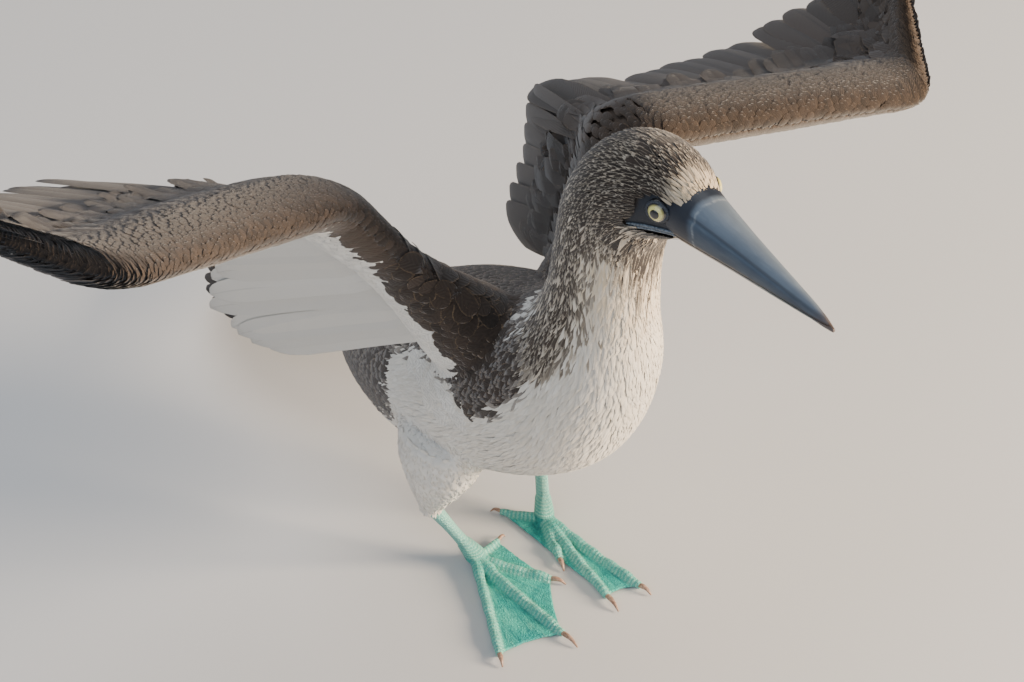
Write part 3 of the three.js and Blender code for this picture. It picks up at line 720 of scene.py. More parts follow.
def plumage(u, turn):
    """Tint and rim of each feather, brown with pale scale edges, dark with a pale streak, or white, and which are of
    the mantle and which of the neck and head."""
    chance, dice = luck.random((2, len(u)))
    brown, streaked = markings(u, turn, chance)
    vary = luck.uniform(.75, 1.3, (len(u), 1))
    tint = blend(WHITE, CREAM, .35 * ease(.2, .42, u) + .35 * chance) * luck.uniform(.9, 1.04, (len(u), 1))
    throat = (ease(.5, .64, u) * luck.uniform(.2, .9, len(u)))[:, None]
    tint = tint * (1 - throat) + WARM * 1.1 * throat
    rim = tint * 1.02
    dark = dice < brown
    faded = .75 * (1 - brown)
    tint[dark] = (blend(DARK * 1.25, GREY_CREAM, faded) * vary)[dark]
    rim[dark] = (blend(blend(GOLDEN, GREY_CREAM * .8, chance * .5), WHITE, faded) * vary)[dark]
    back_patch = (np.abs(u - .5) < .03) & (turn > 1.3) & (turn < 2.6) & (chance < .3)
    tint[back_patch], rim[back_patch] = WHITE * .8, WHITE * .8
    head = ease(.66, .78, u)
    fore = ease(.87, .95, u) * ease(.1, .6, np.sin(turn))
    chin = ease(.74, .84, u) * ease(.25, .75, -np.sin(turn))
    pale = dice < .12 * (1 - head) + .3 * chin
    neck = (chance * .999 < streaked) & ~dark & (u > .44)
    streak_dark = neck & ~pale
    streak_pale = neck & pale
    tone = blend(GREY_CREAM, WARM, .25 + .5 * fore + .3 * luck.random(len(u)))
    faded = np.maximum(ease(.15, .75, fore + .25 * (chance - .5)), (1 - streaked) * .6)
    tint[streak_dark] = blend(blend(DARK, BROWN, .1 + .5 * (1 - head)) * vary * .8, tone, faded)[streak_dark]
    crown = (.5 * ease(.7, .76, u) * ease(-.5, .3, np.sin(turn)) * (1 - fore))[:, None]
    rim[streak_dark] = (tone * luck.uniform(.45, .95, (len(u), 1)) * (1 - .35 * crown))[streak_dark]
    tint[streak_pale] = (tone * luck.uniform(.7, 1.1, (len(u), 1)))[streak_pale]
    rim[streak_pale] = (tone * 1.1)[streak_pale]
    return tint, rim, dark, neck

# %% [markdown]
# ## Feathers of the trunk, neck and head
# Real contour feathers grow in rows, overlap like tiles and shrink from about 2 cm long near the tail to a few
# millimetres round the eye. The rows below run round the spine, with each size read from the place along it.

# %% Contour feathers
def sizes_at(u, *values):
    """A measure that is given at eight places along the spine, with straight steps between them."""
    return np.interp(u, [0, .2, .36, .48, .6, .72, .88, 1], values)


root_u, root_turn = rows_over(trunk, .004, .995, lambda u: sizes_at(u, 4.2, 4.0, 3.7, 3.4, 3.6, 3.8, 3.4, 2.3),
                              lambda u: sizes_at(u, 2.1, 2.0, 1.9, 1.8, 1.65, 1.55, 1.35, 1.1), 0, FULL_TURN)
root = trunk(root_u, root_turn)
keep = bare_face(root) < luck.uniform(-.8, .6, len(root))
root_u, root_turn, root = root_u[keep], root_turn[keep], root[keep]
n = len(root)
tint, rim, is_mantle, is_neck = plumage(root_u, root_turn)
near_face = ease(-14, -1, bare_face(root))
length = sizes_at(root_u, 21, 19, 17, 15, 13.5, 12.5, 10.5, 6.4) * luck.uniform(.85, 1.15, n) * (1 - .35 * near_face)
width = sizes_at(root_u, 3.5, 3.4, 3.2, 3.0, 2.7, 2.5, 2.2, 1.7) * luck.uniform(.85, 1.15, n)
brown_here = markings(root_u, root_turn, .5)[0]
width = width * np.where(is_mantle, 1 + 1.7 * brown_here**3, 1.0) * (1 - .2 * near_face)
yaw = luck.normal(0, .13, n) + .1 * np.sin(root_u * 47 + root_turn * 5)
ruffle = .35 * is_mantle * luck.uniform(.5, 1.5, n) * (1 - .5 * near_face)
tip_lift = sizes_at(root_u, .35, .35, .35, .4, .5, .5, .4, .3) + ruffle
ROOT_DEPTH = .8
middle, side, out = lie(trunk, root_u, root_turn, -np.cos(yaw), np.sin(yaw), length, SOFT_TIP, -ROOT_DEPTH, tip_lift,
                        (.002, .01))
middle, side, out, free = settle(middle, out, .5 + (tip_lift + ROOT_DEPTH)[:, None] * SOFT_TIP[:, 0])
half = width[:, None] / 2 * SOFT_TIP[:, 1]
crown = half * np.where(is_mantle, .07, np.where(is_neck, .09, .045))[:, None] * 2
home = np.stack([.01 + .48 * (root_turn % FULL_TURN) / FULL_TURN, .01 + .98 * root_u], 1)
thinned = luck.random(n) < 1 - .34 * brown_here**3
for name, part, material, slot in (
        ("mantle_feathers", is_mantle & thinned, SMALL, "brown_plumage"),
        ("head_and_neck_feathers", is_neck & ~is_mantle, STREAKED, "streaked_plumage"),
        ("breast_and_belly_feathers", ~is_mantle & ~is_neck, DOWN, "white_plumage")):
    feathers(name, part & free, middle, side, out, half, crown, .12, 4, tint, rim, home, material, slot,
             soft=material is not SMALL)

# %% Thigh feathers
for name, leg in LEGS.items():
    skin = thigh_skin(leg)
    t, turn = rows_over(skin, .02, 1.0, lambda t: 3.4 + 0 * t, lambda t: 1.9 + .9 * t, 0, FULL_TURN)
    n = len(t)
    size = .45 + .55 * ease(0, .5, t)
    middle, side, out = lie(skin, t, turn, -1.0, luck.normal(0, .15, n), 14 * size * luck.uniform(.8, 1.1, n),
                            SOFT_TIP, -1.3, .6 * luck.uniform(.5, 1.5, n), (.002, .01))
    middle, side, out, free = settle(middle, out, .3 + SOFT_TIP[:, 0] * 1.3)
    half = (4.6 * size * luck.uniform(.85, 1.15, n) / 2)[:, None] * SOFT_TIP[:, 1]
    shade = blend(WHITE, CREAM, luck.random(n) * .6) * luck.uniform(.88, 1.02, (n, 1))
    strip = .76 if name == "right" else .88
    home = np.stack([strip + .1 * (turn % FULL_TURN) / FULL_TURN, .02 + .2 * t], 1)
    feathers(name + "_thigh_feathers", free, middle, side, out, half, half * .1, .16, 4, shade, shade, home, DOWN,
             "white_plumage", soft=True)

# %% [markdown]
# ## The skin's own finish
# Skin shows only at the face and in the gaps among feathers, so it carries the same markings as the coat. Each of
# its points finds the nearest place on the spine or on a wing and takes that place's colour.

# %% Colour and build the skin
def nearest_on(line, points):
    """Index of the nearest sample of a line for each point: the sum of squares opened into one matrix product."""
    far = (line**2).sum(1)[None] - 2 * points @ line.T
    best = far.argmin(1)
    return best, np.sqrt(np.maximum(far[np.arange(len(points)), best] + (points**2).sum(1), 0))


spine_u = np.linspace(0, 1, 240)
spine = along_rows(BODY, spine_u)[:, :3]
spine_run = unit(np.gradient(spine, axis=0))
index, far = nearest_on(spine, skin_points)
skin_u, run = spine_u[index], spine_run[index]
rel = skin_points - spine[index]
skin_turn = np.arctan2(rel[:, 2] * -run[:, 1] + rel[:, 1] * run[:, 2], rel[:, 0])
brown, streaked = markings(skin_u, skin_turn, .5)
skin_tint = blend(blend(WHITE * .8, blend(GREY_CREAM * .5, DARK, ease(.62, .74, skin_u)), streaked), DARK, brown)
row = along_rows(BODY, skin_u)
spare = far - np.maximum(row[:, 3], np.where(np.sin(skin_turn) > 0, row[:, 4], row[:, 5]))
# The row of a wing's table at the shoulder joint
SHOULDER_ROW = 36
for wing in WINGS.values():
    s, line, way, _, over = (rows[SHOULDER_ROW:] for rows in wing["table"])
    at, far_wing = nearest_on(line, skin_points)
    rel = skin_points - line[at]
    above, behind = (rel * over[at]).sum(1), (rel * way[at]).sum(1)
    below = ease(-2, -6, above) * ease(-14, -4, behind) * (1 - ease(1.0, 1.3, s[at]))
    on_wing = far_wing - 20 < spare
    skin_tint[on_wing] = blend(blend(DARK, BROWN, .6), WHITE * .8, below)[on_wing]
face = ease(-2.6, -.8, np.where(spare < 6, bare_face(skin_points), -9))
skin_tint = blend(skin_tint, SKIN_BLACK, face)

p = Pattern("skin", Roughness=.6, Specular_IOR_Level=.35)
grain = p.noise(p.place(), 1400.0, 4.0)
SKIN = p.done(p.shaded(p.point("tint", "Color"), p.line(grain, .6, .7)), grain, .0004, .6)
FLESH_NODES = ["torso", "neck", "head", "right_thigh", "left_thigh"]
WING_NODES = [hand + "_" + part for hand in WINGS for part in ("upper_arm", "forearm", "hand")]
build("skin", skin_points, [skin_quads], SKIN, "white_plumage", paint={"tint": skin_tint},
      replaces=FLESH_NODES + WING_NODES)

# %% [markdown]
# ## Wing feathers
# A wing is tiers of tiles: tiny lesser coverts over the rounded front edge, median and greater coverts behind them,
# and the long flight feathers underneath. Each tier lies over the roots of the one behind it. All of them walk over
# the same wing formula as the flesh, and settle lifts those that would sink in.

# %% Small and middle coverts
def wing_home(hand, s, q):
    """Each wing has its own strip of the unwrap: s runs up it and q across."""
    return np.stack([(.53 if hand == "right" else .65) + .1 * (q + 80) / 220, .02 + .96 * s / 3.1], 1)


def coverts(hand, name, s_range, q_range, gap_s, gap_q, size, under, tint, rim, lift, material=SMALL, ring=4):
    """A field of coverts: rows across the wing, each vane lying back over the top or the underside."""
    skin = WINGS[hand]["skin"]
    s, q = rows_over(skin, *s_range, lambda s: gap_s + 0 * s, lambda s: gap_q + 0 * s, *q_range)
    n = len(s)
    small = np.interp(s, [0, 2.1, 3], [1, .95, .6])
    yaw = luck.normal(.12, .09, n)
    length, width = (small * luck.uniform(.88, 1.12, n) * v for v in size)
    middle, side, out = lie(skin, s, q, np.sin(yaw), (-1.0 if under else 1.0) * np.cos(yaw), length, ROUND_TIP,
                            lift[0], lift[1] * luck.uniform(.6, 1.4, n), (.01, .5))
    middle, side, out, free = settle(middle, out, .5 + ROUND_TIP[:, 0] * 1.2)
    half = width[:, None] / 2 * ROUND_TIP[:, 1]
    feathers(f"{hand}_{name}", free, middle, side, out, half, half * .1, .13, ring, tint(s, q, n), rim(s, q, n),
             wing_home(hand, s, q), material)


def brownish(share=.4, low=.55, high=1.1):
    """A maker of tints: browns from dark to share of the way to light, each times a draw from low to high."""
    return lambda s, q, n: blend(DARK, BROWN, share * luck.random(n) + .3) * luck.uniform(low, high, (n, 1))


def edged(strength):
    """A maker of rims: browns that go by strength towards golden."""
    return lambda s, q, n: blend(BROWN, GOLDEN, strength * luck.uniform(.6, 1.2, n)) * luck.uniform(.7, 1.2, (n, 1))


def whitish(s, q, n):
    """A tint from white to a quarter of the way to cream."""
    return blend(WHITE, CREAM, luck.random(n) * .25) * luck.uniform(.9, 1.02, (n, 1))


def underwing(s, q, n):
    """White at the inner wing, and brown with a white band along the outer wing."""
    white = ease(1.55, 1.15, s + .25 * luck.random(n)) * ease(-9, -15, q)
    band = ease(-30, -36, q) * ease(-58, -50, q) * ease(2.3, 2.0, s)
    share = np.clip(np.maximum(white, band * (luck.random(n) < .8)), 0, 1)
    return blend(BROWN * .9, WHITE, share > luck.random(n) * .6 + .2) * luck.uniform(.8, 1.05, (n, 1))


for hand in WINGS:
    coverts(hand, "lesser_coverts", (.02, 3.0), (-13, 46), 2.7, 3.6, (10.5, 5.0), False, brownish(), edged(.35),
            (-.9, .2))
    coverts(hand, "lesser_under_coverts", (.02, 2.9), (-64, -6), 3.4, 4.4, (14, 6.0), True, underwing, underwing,
            (-.8, .5))
    coverts(hand, "median_coverts", (.05, 2.6), (40, 60), 7.0, 8.5, (26, 11), False, brownish(), edged(.45),
            (-.6, .9), ring=8)
    coverts(hand, "greater_coverts", (.1, 2.7), (56, 68), 7.2, 9, (46, 15), False, brownish(), edged(.4), (-.4, .9),
            LARGE, 8)

# %% [markdown]
# ## Feathers over the joins
# Rows over the trunk, the wing and the thigh don't meet at the shoulder and groin. There the skin itself gives the
# roots: a random share of its points near the join, each feather lying between the ways of the two forms.

# %% Lay feathers on the skin's own points
_, skin_out = on_skin(skin_points)


def over_join(zone, way, scatter, length, width, shape, clear, rise):
    """Roots and vanes on the skin's points in the zone. Each vane lies along way, scattered and laid flat, clear mm
    over the skin at its root and about rise mm more at its tip."""
    root, n = skin_points[zone], zone.sum()
    way = unit(way + luck.normal(0, scatter, (n, 3)))
    way = unit(way - (way * skin_out[zone]).sum(1, keepdims=True) * skin_out[zone])
    size = luck.uniform(.85, 1.15, n)
    foot, normal = on_skin(root[:, None] + way[:, None] * (length * size)[:, None, None] * shape[:, :1])
    middle = foot + normal * (clear + rise * shape[:, 0] * luck.uniform(.7, 1.3, (n, 1)))[..., None]
    return root, n, middle, normal, *vane_axes(middle, normal), (width * size / 2)[:, None] * shape[:, 1]


def trunk_way(zone):
    """The way that feathers of the trunk lie at the skin's points in the zone: back along the spine."""
    return -spine_run[nearest_on(spine, skin_points[zone])[0]]

# %% Shoulder feathers
for hand, wing in WINGS.items():
    s, line, way, _, over = wing["table"]
    index, far = nearest_on(line, skin_points)
    rel = skin_points - line[index]
    s_at, above, behind = s[index], (rel * over[index]).sum(1), (rel * way[index]).sum(1)
    zone = (s_at > -.3) & (s_at < .56) & (far < 46) & (skin_points[:, 0] * wing["out"] > 18)
    zone &= luck.random(len(far)) < .36
    lie_way = blend(trunk_way(zone), way[index[zone]], ease(-.1, .45, s_at[zone]))
    root, n, middle, _, side, out, half = over_join(zone, lie_way, .1, 20, 11.5, ROUND_TIP, .8, 1.7)
    pale = (ease(-6, 4, above[zone]) < luck.random(n) * .4 + .3) & (behind[zone] > -9)
    tint = np.where(pale[:, None], whitish(root, root, n), brownish()(root, root, n))
    rim = np.where(pale[:, None], tint, edged(1.0)(root, root, n))
    feathers(hand + "_shoulder_feathers", ALL, middle, side, out, half, half * .1, .2, 4, tint, rim,
             wing_home(hand, s_at[zone], 40 * np.sign(above[zone])), SMALL)

# %% Groin feathers
for hand, leg in LEGS.items():
    heel, knee = np.array(leg["heel"], float), np.array(leg["knee"], float)
    t = np.clip(((skin_points - heel) @ (knee - heel)) / ((knee - heel) ** 2).sum(), 0, 1.3)
    axis_far = np.linalg.norm(skin_points - heel - (knee - heel) * t[:, None], axis=1)
    clear = axis_far - np.interp(t, THIGH[:, 0], THIGH[:, 1:].mean(1))
    zone = (t > .25) & (clear < 17) & (skin_points[:, 2] < 140) & (luck.random(len(t)) < .8)
    lie_way = blend(trunk_way(zone), unit(heel - knee), ease(16, 2, clear[zone]))
    root, n, middle, normal, side, _, half = over_join(zone, lie_way, .12, 15, 4.4, SOFT_TIP, 1.2, 1.5)
    sideways = np.array([leg["out"] * .8, -.45, .35])
    tint = whitish(root, root, n)
    home = np.stack([.90 + .08 * (root[:, 1] + 60) / 160,
                     .3 + .2 * root[:, 2] / 130 + (.25 if hand == "left" else 0)], 1)
    feathers(hand + "_groin_feathers", ALL, middle, side, unit(normal + 1.1 * sideways), half, half * .1, .14, 4,
             tint, tint, home, DOWN, "white_plumage")

# %% [markdown]
# ## Flight feathers
# Flight feathers are stiff blades with a shaft, a narrow vane in front and a wide one behind. They fan like slats,
# each turned a little so that one overlaps the next.

# %% Blades
T = np.sin(np.linspace(0, np.pi / 2, 15))
BLADE = np.interp(T, [0, .04, .22, .6, .84, .92, .965, .99, 1], [.12, .4, .88, 1, .95, .8, .58, .3, .06])


def blades(root, along, side, out, length, width, bend, tilt):
    """Straight shafts that bend by bend * length * t2 against out, with side and out turned by tilt about them."""
    turned = side * np.cos(tilt)[:, None] + out * np.sin(tilt)[:, None]
    over = out * np.cos(tilt)[:, None] - side * np.sin(tilt)[:, None]
    walk = length[:, None] * T
    middle = root[:, None] + along[:, None] * walk[..., None] - over[:, None] * (bend * walk * T)[..., None]
    half = width[:, None] / 2 * BLADE
    spread = lambda rows: np.repeat(rows[:, None], len(T), 1)
    return middle, spread(turned), spread(over), half


def wing_blades(hand, name, s0, s1, count, length, width, lift, inset, bend, tint, rim, material=LARGE, arch=.16):
    """A row of blades rooted from s0 to s1 along the bones, inset mm behind them and lift mm over them. length is a
    function of the share along that bone."""
    s = s0 + (s1 - s0) * (np.arange(count) + .5) / count
    line, way, side, out = wing_frame(WINGS[hand], s)
    way = unit(way + luck.normal(0, .012, way.shape))
    vary = luck.uniform(.97, 1.03, count)
    middle, side, out, half = blades(line + out * lift + way * inset, way, side, out, length(s - int(s0 + .2)) * vary,
                                     np.full(count, width), bend, np.full(count, BLADE_TILT))
    feathers(f"{hand}_{name}", ALL, middle, side, out, half, half * arch, .5, 8, tint(s, s, count),
             rim(s, s, count), wing_home(hand, s, np.full(count, 120.0)), material)


BLADE_TILT = .13
WING_CHORD, SHORTEST_PRIMARY = 410, 140
primary_length = lambda t: SHORTEST_PRIMARY + (WING_CHORD - HAND_LENGTH - SHORTEST_PRIMARY) * np.clip(t, 0, 1) ** .8
for hand in WINGS:
    innermost = 40 if hand == "right" else 0
    wing_blades(hand, "tertials", .12, 1.04, 8, lambda t: 108 + 12 * t, 33, 0, 16, .06, brownish(.3), edged(.3))
    wing_blades(hand, "axillaries", .06, .9, 15, lambda t: 96 + 12 * t + innermost * ease(.65, .3, t), 24, -10, 8,
                .07, whitish, whitish, LONG_WHITE, .1)
    wing_blades(hand, "secondaries", 1.0, 2.0, 21, lambda t: 128 + 0 * t, 25, 0, 22, .06, brownish(.25), edged(.25))
    wing_blades(hand, "primaries", 2.0, 3.0, 10, primary_length, 27, 0, 8, .05, brownish(.1, .6, .9), edged(.1))
    wing_blades(hand, "primary_coverts", 2.0, 2.6, 8, lambda t: 62 + 22 * t, 18, 3.6, 4, .06, brownish(.2), edged(.2))

# %% [markdown]
# ## Tail
# Fourteen stiff feathers fan about the stub, the middle pair longest and on top, with soft coverts above and below.

# %% Tail feathers
TAIL_PAIRS = 7


def fan(name, length, width, spread, drop, lift, tint, rim, material=LARGE, replaces=()):
    """Pairs of blades turned outwards by share * spread, each pair lower and shorter than the one inside it."""
    n = 2 * TAIL_PAIRS
    share = np.tile((np.arange(TAIL_PAIRS) + .5) / TAIL_PAIRS, 2)
    hand = np.repeat([-1.0, 1.0], TAIL_PAIRS)
    turn = hand * share * spread
    along = TAIL_WAY * np.cos(turn)[:, None] + np.array([1.0, 0, 0]) * np.sin(turn)[:, None]
    side = unit(np.cross(along, TAIL_UP))
    root = TAIL_ROOT + np.array([1.0, 0, 0]) * (hand * share * 17)[:, None] + TAIL_UP * (lift - share * drop)[:, None]
    middle, side, over, half = blades(root, along, side, unit(np.cross(side, along)), length * (1 - .42 * share**2),
                                      np.full(n, width), .02, -hand * .12)
    home = np.stack([.88 + .04 * hand * share, np.full(n, .5 + lift / 100)], 1)
    feathers(name, ALL, middle, side, over, half, half * .14, .5, 8, tint(share, share, n), rim(share, share, n),
             home, material, replaces=replaces)


fan("tail_feathers", 190, 20.0, .3, 9, 3, brownish(.3, .6, 1), edged(.3), replaces=["tail"])
fan("tail_coverts_above", 76, 15.0, .24, 6, 8, whitish, whitish, LONG_WHITE)
fan("tail_coverts_below", 86, 16.0, .24, -2, -8, whitish, whitish, LONG_WHITE)

# %% [markdown]
# ## Bill
# The bill is a long horn cone, a little hooked, with a fine line where the two halves meet and a groove along each
# side where the closed nostril lies. It is lofted from ovals cut along the mouth line, so both halves share one
# outline and the groove is pushed into the same rings. Its colour carries a painted highlight along the top, and
# painted shade in the grooves and along the mouth line.

# %% Bill halves
BILL_BASE = np.array([0, -172, 372.0])
# Distance ahead of the bill's base, half width, height above and depth below the middle
BILL = np.array([[-26, 18, 19, 17], [-6, 15.5, 17, 17], [6, 13.6, 15, 15.6], [30, 10, 11.6, 12.4], [58, 6.6, 8.2, 8.6],
                 [82, 3.8, 5.2, 5], [95, 2.2, 3.2, 2.6], [102, .9, .9, 1.2]])
MOUTH_TILT, MOUTH_POINT = .075, np.array([0, -254, 372.0])


def bill_half(upper, d, ring=44, flat=10):
    """Rings of an oval at d mm ahead of the bill's base, cut at the mouth plane: an arc over one side of the cut, and
    a flat floor back along it."""
    wide, top, low = (np.interp(d, BILL[:, 0], BILL[:, k]) for k in (1, 2, 3))
    middle_y, middle_z = BILL_BASE[1] - d, BILL_BASE[2] + 1 - 1.2 * ease(84, 102, d)
    cut = MOUTH_POINT[2] - MOUTH_TILT * (middle_y - MOUTH_POINT[1]) - middle_z
    cut = cut + (.22 if upper else -.22)
    start = np.arcsin(np.clip(cut / np.where(cut > 0, top, low), -.95, .95))
    share = np.linspace(0, 1, ring)
    sweep = np.pi - 2 * start if upper else -np.pi - 2 * start
    turn = start[:, None] + sweep[:, None] * share
    high = np.where(np.sin(turn) > 0, top[:, None], low[:, None])
    fade = ease(-8, 8, d) * (1 - ease(60, 84, d))
    groove = np.exp(-((np.sin(turn) - .52) / .09) ** 2) * .075 * fade[:, None] if upper else 0
    lip = np.exp(-((turn - turn[:, :1]) / .2) ** 2) + np.exp(-((turn - turn[:, -1:]) / .2) ** 2)
    full = 1 - groove + .02 * lip * ease(-10, 10, d)[:, None]
    back_share = np.linspace(0, 1, flat + 2)[1:-1]
    closed = lambda rows: np.concatenate([rows, rows[:, -1:] + (rows[:, :1] - rows[:, -1:]) * back_share], 1)
    x, z = closed(wide[:, None] * np.cos(turn) * full), closed(high * np.sin(turn) * full)
    return np.stack([x, np.broadcast_to(middle_y[:, None], x.shape), z + middle_z[:, None]], -1)


p = Pattern("bill_horn", Roughness=.42, Specular_IOR_Level=.5)
where = p.node("SeparateXYZ", p.node("TexCoord").outputs["Object"])
run_y = p.line(where.outputs[1], -1000.0, float(BILL_BASE[1] - STAND_POINT[1]))
fine = p.noise(p.place((1, .12, 1)), 420.0, 5.0, .6)
patches = p.noise(p.place((1, .5, 1)), 70.0, 4.0)
slate = p.mix(p.ramp(patches, .35, .7), (.040, .056, .082, 1), (.085, .115, .155, 1))
slate = p.coat(slate, p.ramp(fine, .5, .75), .4, (.17, .205, .24, 1))
above = p.line(where.outputs[2], 1000.0, -float(BILL_BASE[2] + 1))
# Painted highlight: the top of the bill is made lighter, as if lit from above.
painted_top_highlight = p.ramp(p.line(run_y, .11, above), 8.0, 13.5)
slate = p.coat(slate, painted_top_highlight, .5, (.19, .225, .26, 1))
mouth = p.line(where.outputs[1], 1000 * MOUTH_TILT, p.line(
    where.outputs[2], 1000.0, float(-MOUTH_POINT[2] - MOUTH_TILT * (MOUTH_POINT[1] - STAND_POINT[1]))))
groove = p.line(run_y, .064, p.maths("SUBTRACT", above, 8.1))
strip = p.times(p.rest(p.ramp(groove, -2.2, -.4)), p.ramp(mouth, -.2, .6))
slate = p.coat(slate, strip, .55, (.034, .045, .062, 1))
# Painted shade: the groove along each side of the bill is darkened.
painted_groove_shade = p.rest(p.ramp(p.maths("ABSOLUTE", groove), .3, 1.5))
slate = p.coat(slate, painted_groove_shade, .55, (.022, .028, .04, 1))
# Painted shade: a dark line along the mouth, in the gap between the two halves.
painted_mouth_shade = p.rest(p.ramp(p.maths("ABSOLUTE", mouth), .45, 1.3))
slate = p.coat(slate, painted_mouth_shade, .85, (.012, .015, .02, 1))
slate = p.coat(slate, p.rest(p.ramp(mouth, -4.5, -1.0)), .35, (.10, .115, .13, 1))
base = p.line(patches, 5.0, run_y)
base = p.line(p.ramp(above, 0.0, 12.0), 2.0, base)
crease = p.times(p.ramp(base, 7.2, 8.2), p.rest(p.ramp(base, 8.4, 9.8)))
crease = p.times(crease, p.ramp(fine, .3, .62))
slate = p.coat(slate, crease, .45, (.38, .40, .40, 1))
slate = p.mix(p.rest(p.ramp(base, 3.5, 7.5)), slate, (.016, .02, .03, 1))
tip = p.ramp(p.line(patches, 8.0, run_y), 88.0, 106.0)
HORN = p.done(p.coat(slate, tip, .75, (.11, .07, .05, 1)), fine, .0003, .5)
ahead = np.concatenate([np.linspace(-24, 94, 90), np.linspace(95, 102, 16)])
for upper, name in ((True, "bill_upper"), (False, "bill_lower")):
    points, faces = closed_tube(bill_half(upper, ahead))
    build(name + "_horn", points, faces, HORN, "bill_horn", replaces=[name])

# %% [markdown]
# ## Eyes
# The eye is a ball deep in the head with a ring of bare skin round it. The iris is painted by the distance from the
# eye's own axis, with fine spokes. In front the ball bulges a little, and its clear coat catches the light as a real
# cornea does.

# %% Eyes and lids
EYE_RADIUS = 7.2
EYE_WAY = unit(np.array([.9, -.4, .12]))
IRIS, PUPIL, CORNEA = 4.8, 2.5, .35
EYE_RINGS, EYE_SIDES = 40, 48
LID_STEPS, LID_SIDES = 96, 16


def about(hand):
    """The middle of one eye, the way it looks, and two directions square to that, to turn about it."""
    mirror = np.array([hand, 1, 1])
    way = EYE_WAY * mirror
    side = unit(np.cross([0, 0, 1.0], way))
    return EYE * mirror, way, side, np.cross(way, side)


def eyeball(hand):
    """Rings about the eye's axis from front to back, raised in front where the cornea sits, and for each point its
    distance from the axis and its turn about it."""
    middle, way, side, high = about(hand)
    angle = np.linspace(.02, np.pi - .02, EYE_RINGS)
    radius = EYE_RADIUS + CORNEA * ease(.82, .3, angle)
    turn = turns(EYE_SIDES)
    ring = (np.cos(angle)[:, None, None] * way + np.sin(angle)[:, None, None] * (
        np.cos(turn)[None, :, None] * side + np.sin(turn)[None, :, None] * high)) * radius[:, None, None]
    apart = np.concatenate([np.repeat(np.sin(angle) * EYE_RADIUS, EYE_SIDES), [0, 0]])
    apart[np.concatenate([np.repeat(angle, EYE_SIDES), [0, np.pi]]) > 1.6] = 9
    return *closed_tube(middle + ring), apart, np.concatenate([np.tile(turn, EYE_RINGS), [0, 0]])


def lid(hand):
    """A ring of skin round the eye, folded by two waves that don't keep step."""
    middle, way, side, high = about(hand)
    around = np.linspace(0, 2 * np.pi, LID_STEPS + 1)[:-1]
    minor = turns(LID_SIDES)
    rim_line = side * np.cos(around)[:, None] * 5.95 + high * np.sin(around)[:, None] * 5.2
    thick = .95 * (1 + .12 * np.sin(around * 17) * np.sin(around * 5 + 1))
    tube = (middle + way * 3.9 + rim_line)[:, None] + thick[:, None, None] * (
        unit(rim_line)[:, None] * np.cos(minor)[None, :, None] * 1.2 + way * np.sin(minor)[None, :, None])
    return tube.reshape(-1, 3), [ring_faces(LID_STEPS + 1, LID_SIDES) % (LID_STEPS * LID_SIDES)]


p = Pattern("iris", Roughness=.25, Coat_Weight=1.0, Coat_Roughness=.02)
apart = p.point("apart")
yellow = p.mix(p.ramp(p.noise(p.point("spokes", "Vector"), 5.0), .3, .7), (.58, .50, .12, 1), (.80, .73, .30, 1))
yellow = p.mix(p.ramp(apart, IRIS - 1.1, IRIS - .2), yellow, (.22, .19, .07, 1))
dark_eye = p.mix(p.ramp(apart, IRIS - .15, IRIS + .1), yellow, (.006, .006, .008, 1))
IRIS_SKIN = p.done(p.mix(p.ramp(apart, PUPIL - .12, PUPIL + .12), (.002, .002, .002, 1), dark_eye))
p = Pattern("lid_skin", Roughness=.45, Specular_IOR_Level=.5)
wrinkle = p.noise(p.place(), 1500.0, 4.0)
LID = p.done(p.mix(p.ramp(wrinkle, .4, .7), (.012, .015, .022, 1), (.05, .062, .085, 1)), wrinkle, .0005, .7)
for hand, name in ((-1, "right"), (1, "left")):
    points, faces, apart, around = eyeball(hand)
    spoke = np.stack([np.cos(around) * 3, np.sin(around) * 3, apart * .35], 1)
    build(name + "_eyeball", points, faces, IRIS_SKIN, "eye", numbers={"apart": apart}, paint={"spokes": spoke},
          replaces=[name + "_eye"])
    build(name + "_lid", *lid(hand), LID, "bill_horn")

# %% [markdown]
# ## The corner of the mouth
# A booby's mouth runs back past its eye. The bare skin there folds into two thin ridges with a dark line between
# them. They are tubes carried along a curve in side view, which is laid on the head by the skin it lies on.

# %% Gape folds
# Places in side view from front to back: y, z
GAPE = np.array([[-184, 366.2], [-172, 365.0], [-160, 363.4], [-150, 361.6], [-142, 359.4], [-136.5, 357.4]])


def gape_fold(hand, drop, radius, share):
    """A curve through the side view's y, z rows from share to the end, wrapped on the head and thinned at both ends."""
    t = np.linspace(share, 1, 40)
    side_view = along_rows(GAPE, t)
    line = np.stack([np.full(40, hand * 40.0), side_view[:, 0], side_view[:, 1] - drop], 1)
    index, _ = nearest_on(spine, line * [0, 1, 1])
    row = along_rows(BODY, spine_u[index])
    low = np.clip((line[:, 2] - row[:, 2]) / -row[:, 5], -.98, .98)
    line[:, 0] = row[:, 0] + hand * row[:, 3] * np.sqrt(1 - low**2) * .985
    thick = radius * np.sqrt(np.clip(1 - ((t - share) / (1 - share) * 2 - 1) ** 4, .02, 1))
    foot, normal = on_skin(line)
    along = unit(np.gradient(foot, axis=0))
    side = unit(np.cross(along, normal))
    turn = turns(12)
    lift = foot + normal * .5
    return closed_tube(lift[:, None] + (side[:, None] * np.cos(turn)[None, :, None] * 1.25
                                        + normal[:, None] * np.sin(turn)[None, :, None]) * thick[:, None, None])


p = Pattern("gape_skin", Roughness=.5)
fold_grain = p.noise(p.place(), 900.0, 4.0)
GAPE_SKIN = p.done(p.mix(p.ramp(fold_grain, .35, .65), (.045, .06, .08, 1), (.16, .19, .22, 1)), fold_grain, .0004,
                   .6)
for hand, name in ((-1, "right"), (1, "left")):
    for k, fold in enumerate(((-.7, .75, .12), (1.6, .8, .0))):
        build(f"{name}_gape_fold_{k + 1}", *gape_fold(hand, *fold), GAPE_SKIN, "bill_horn")

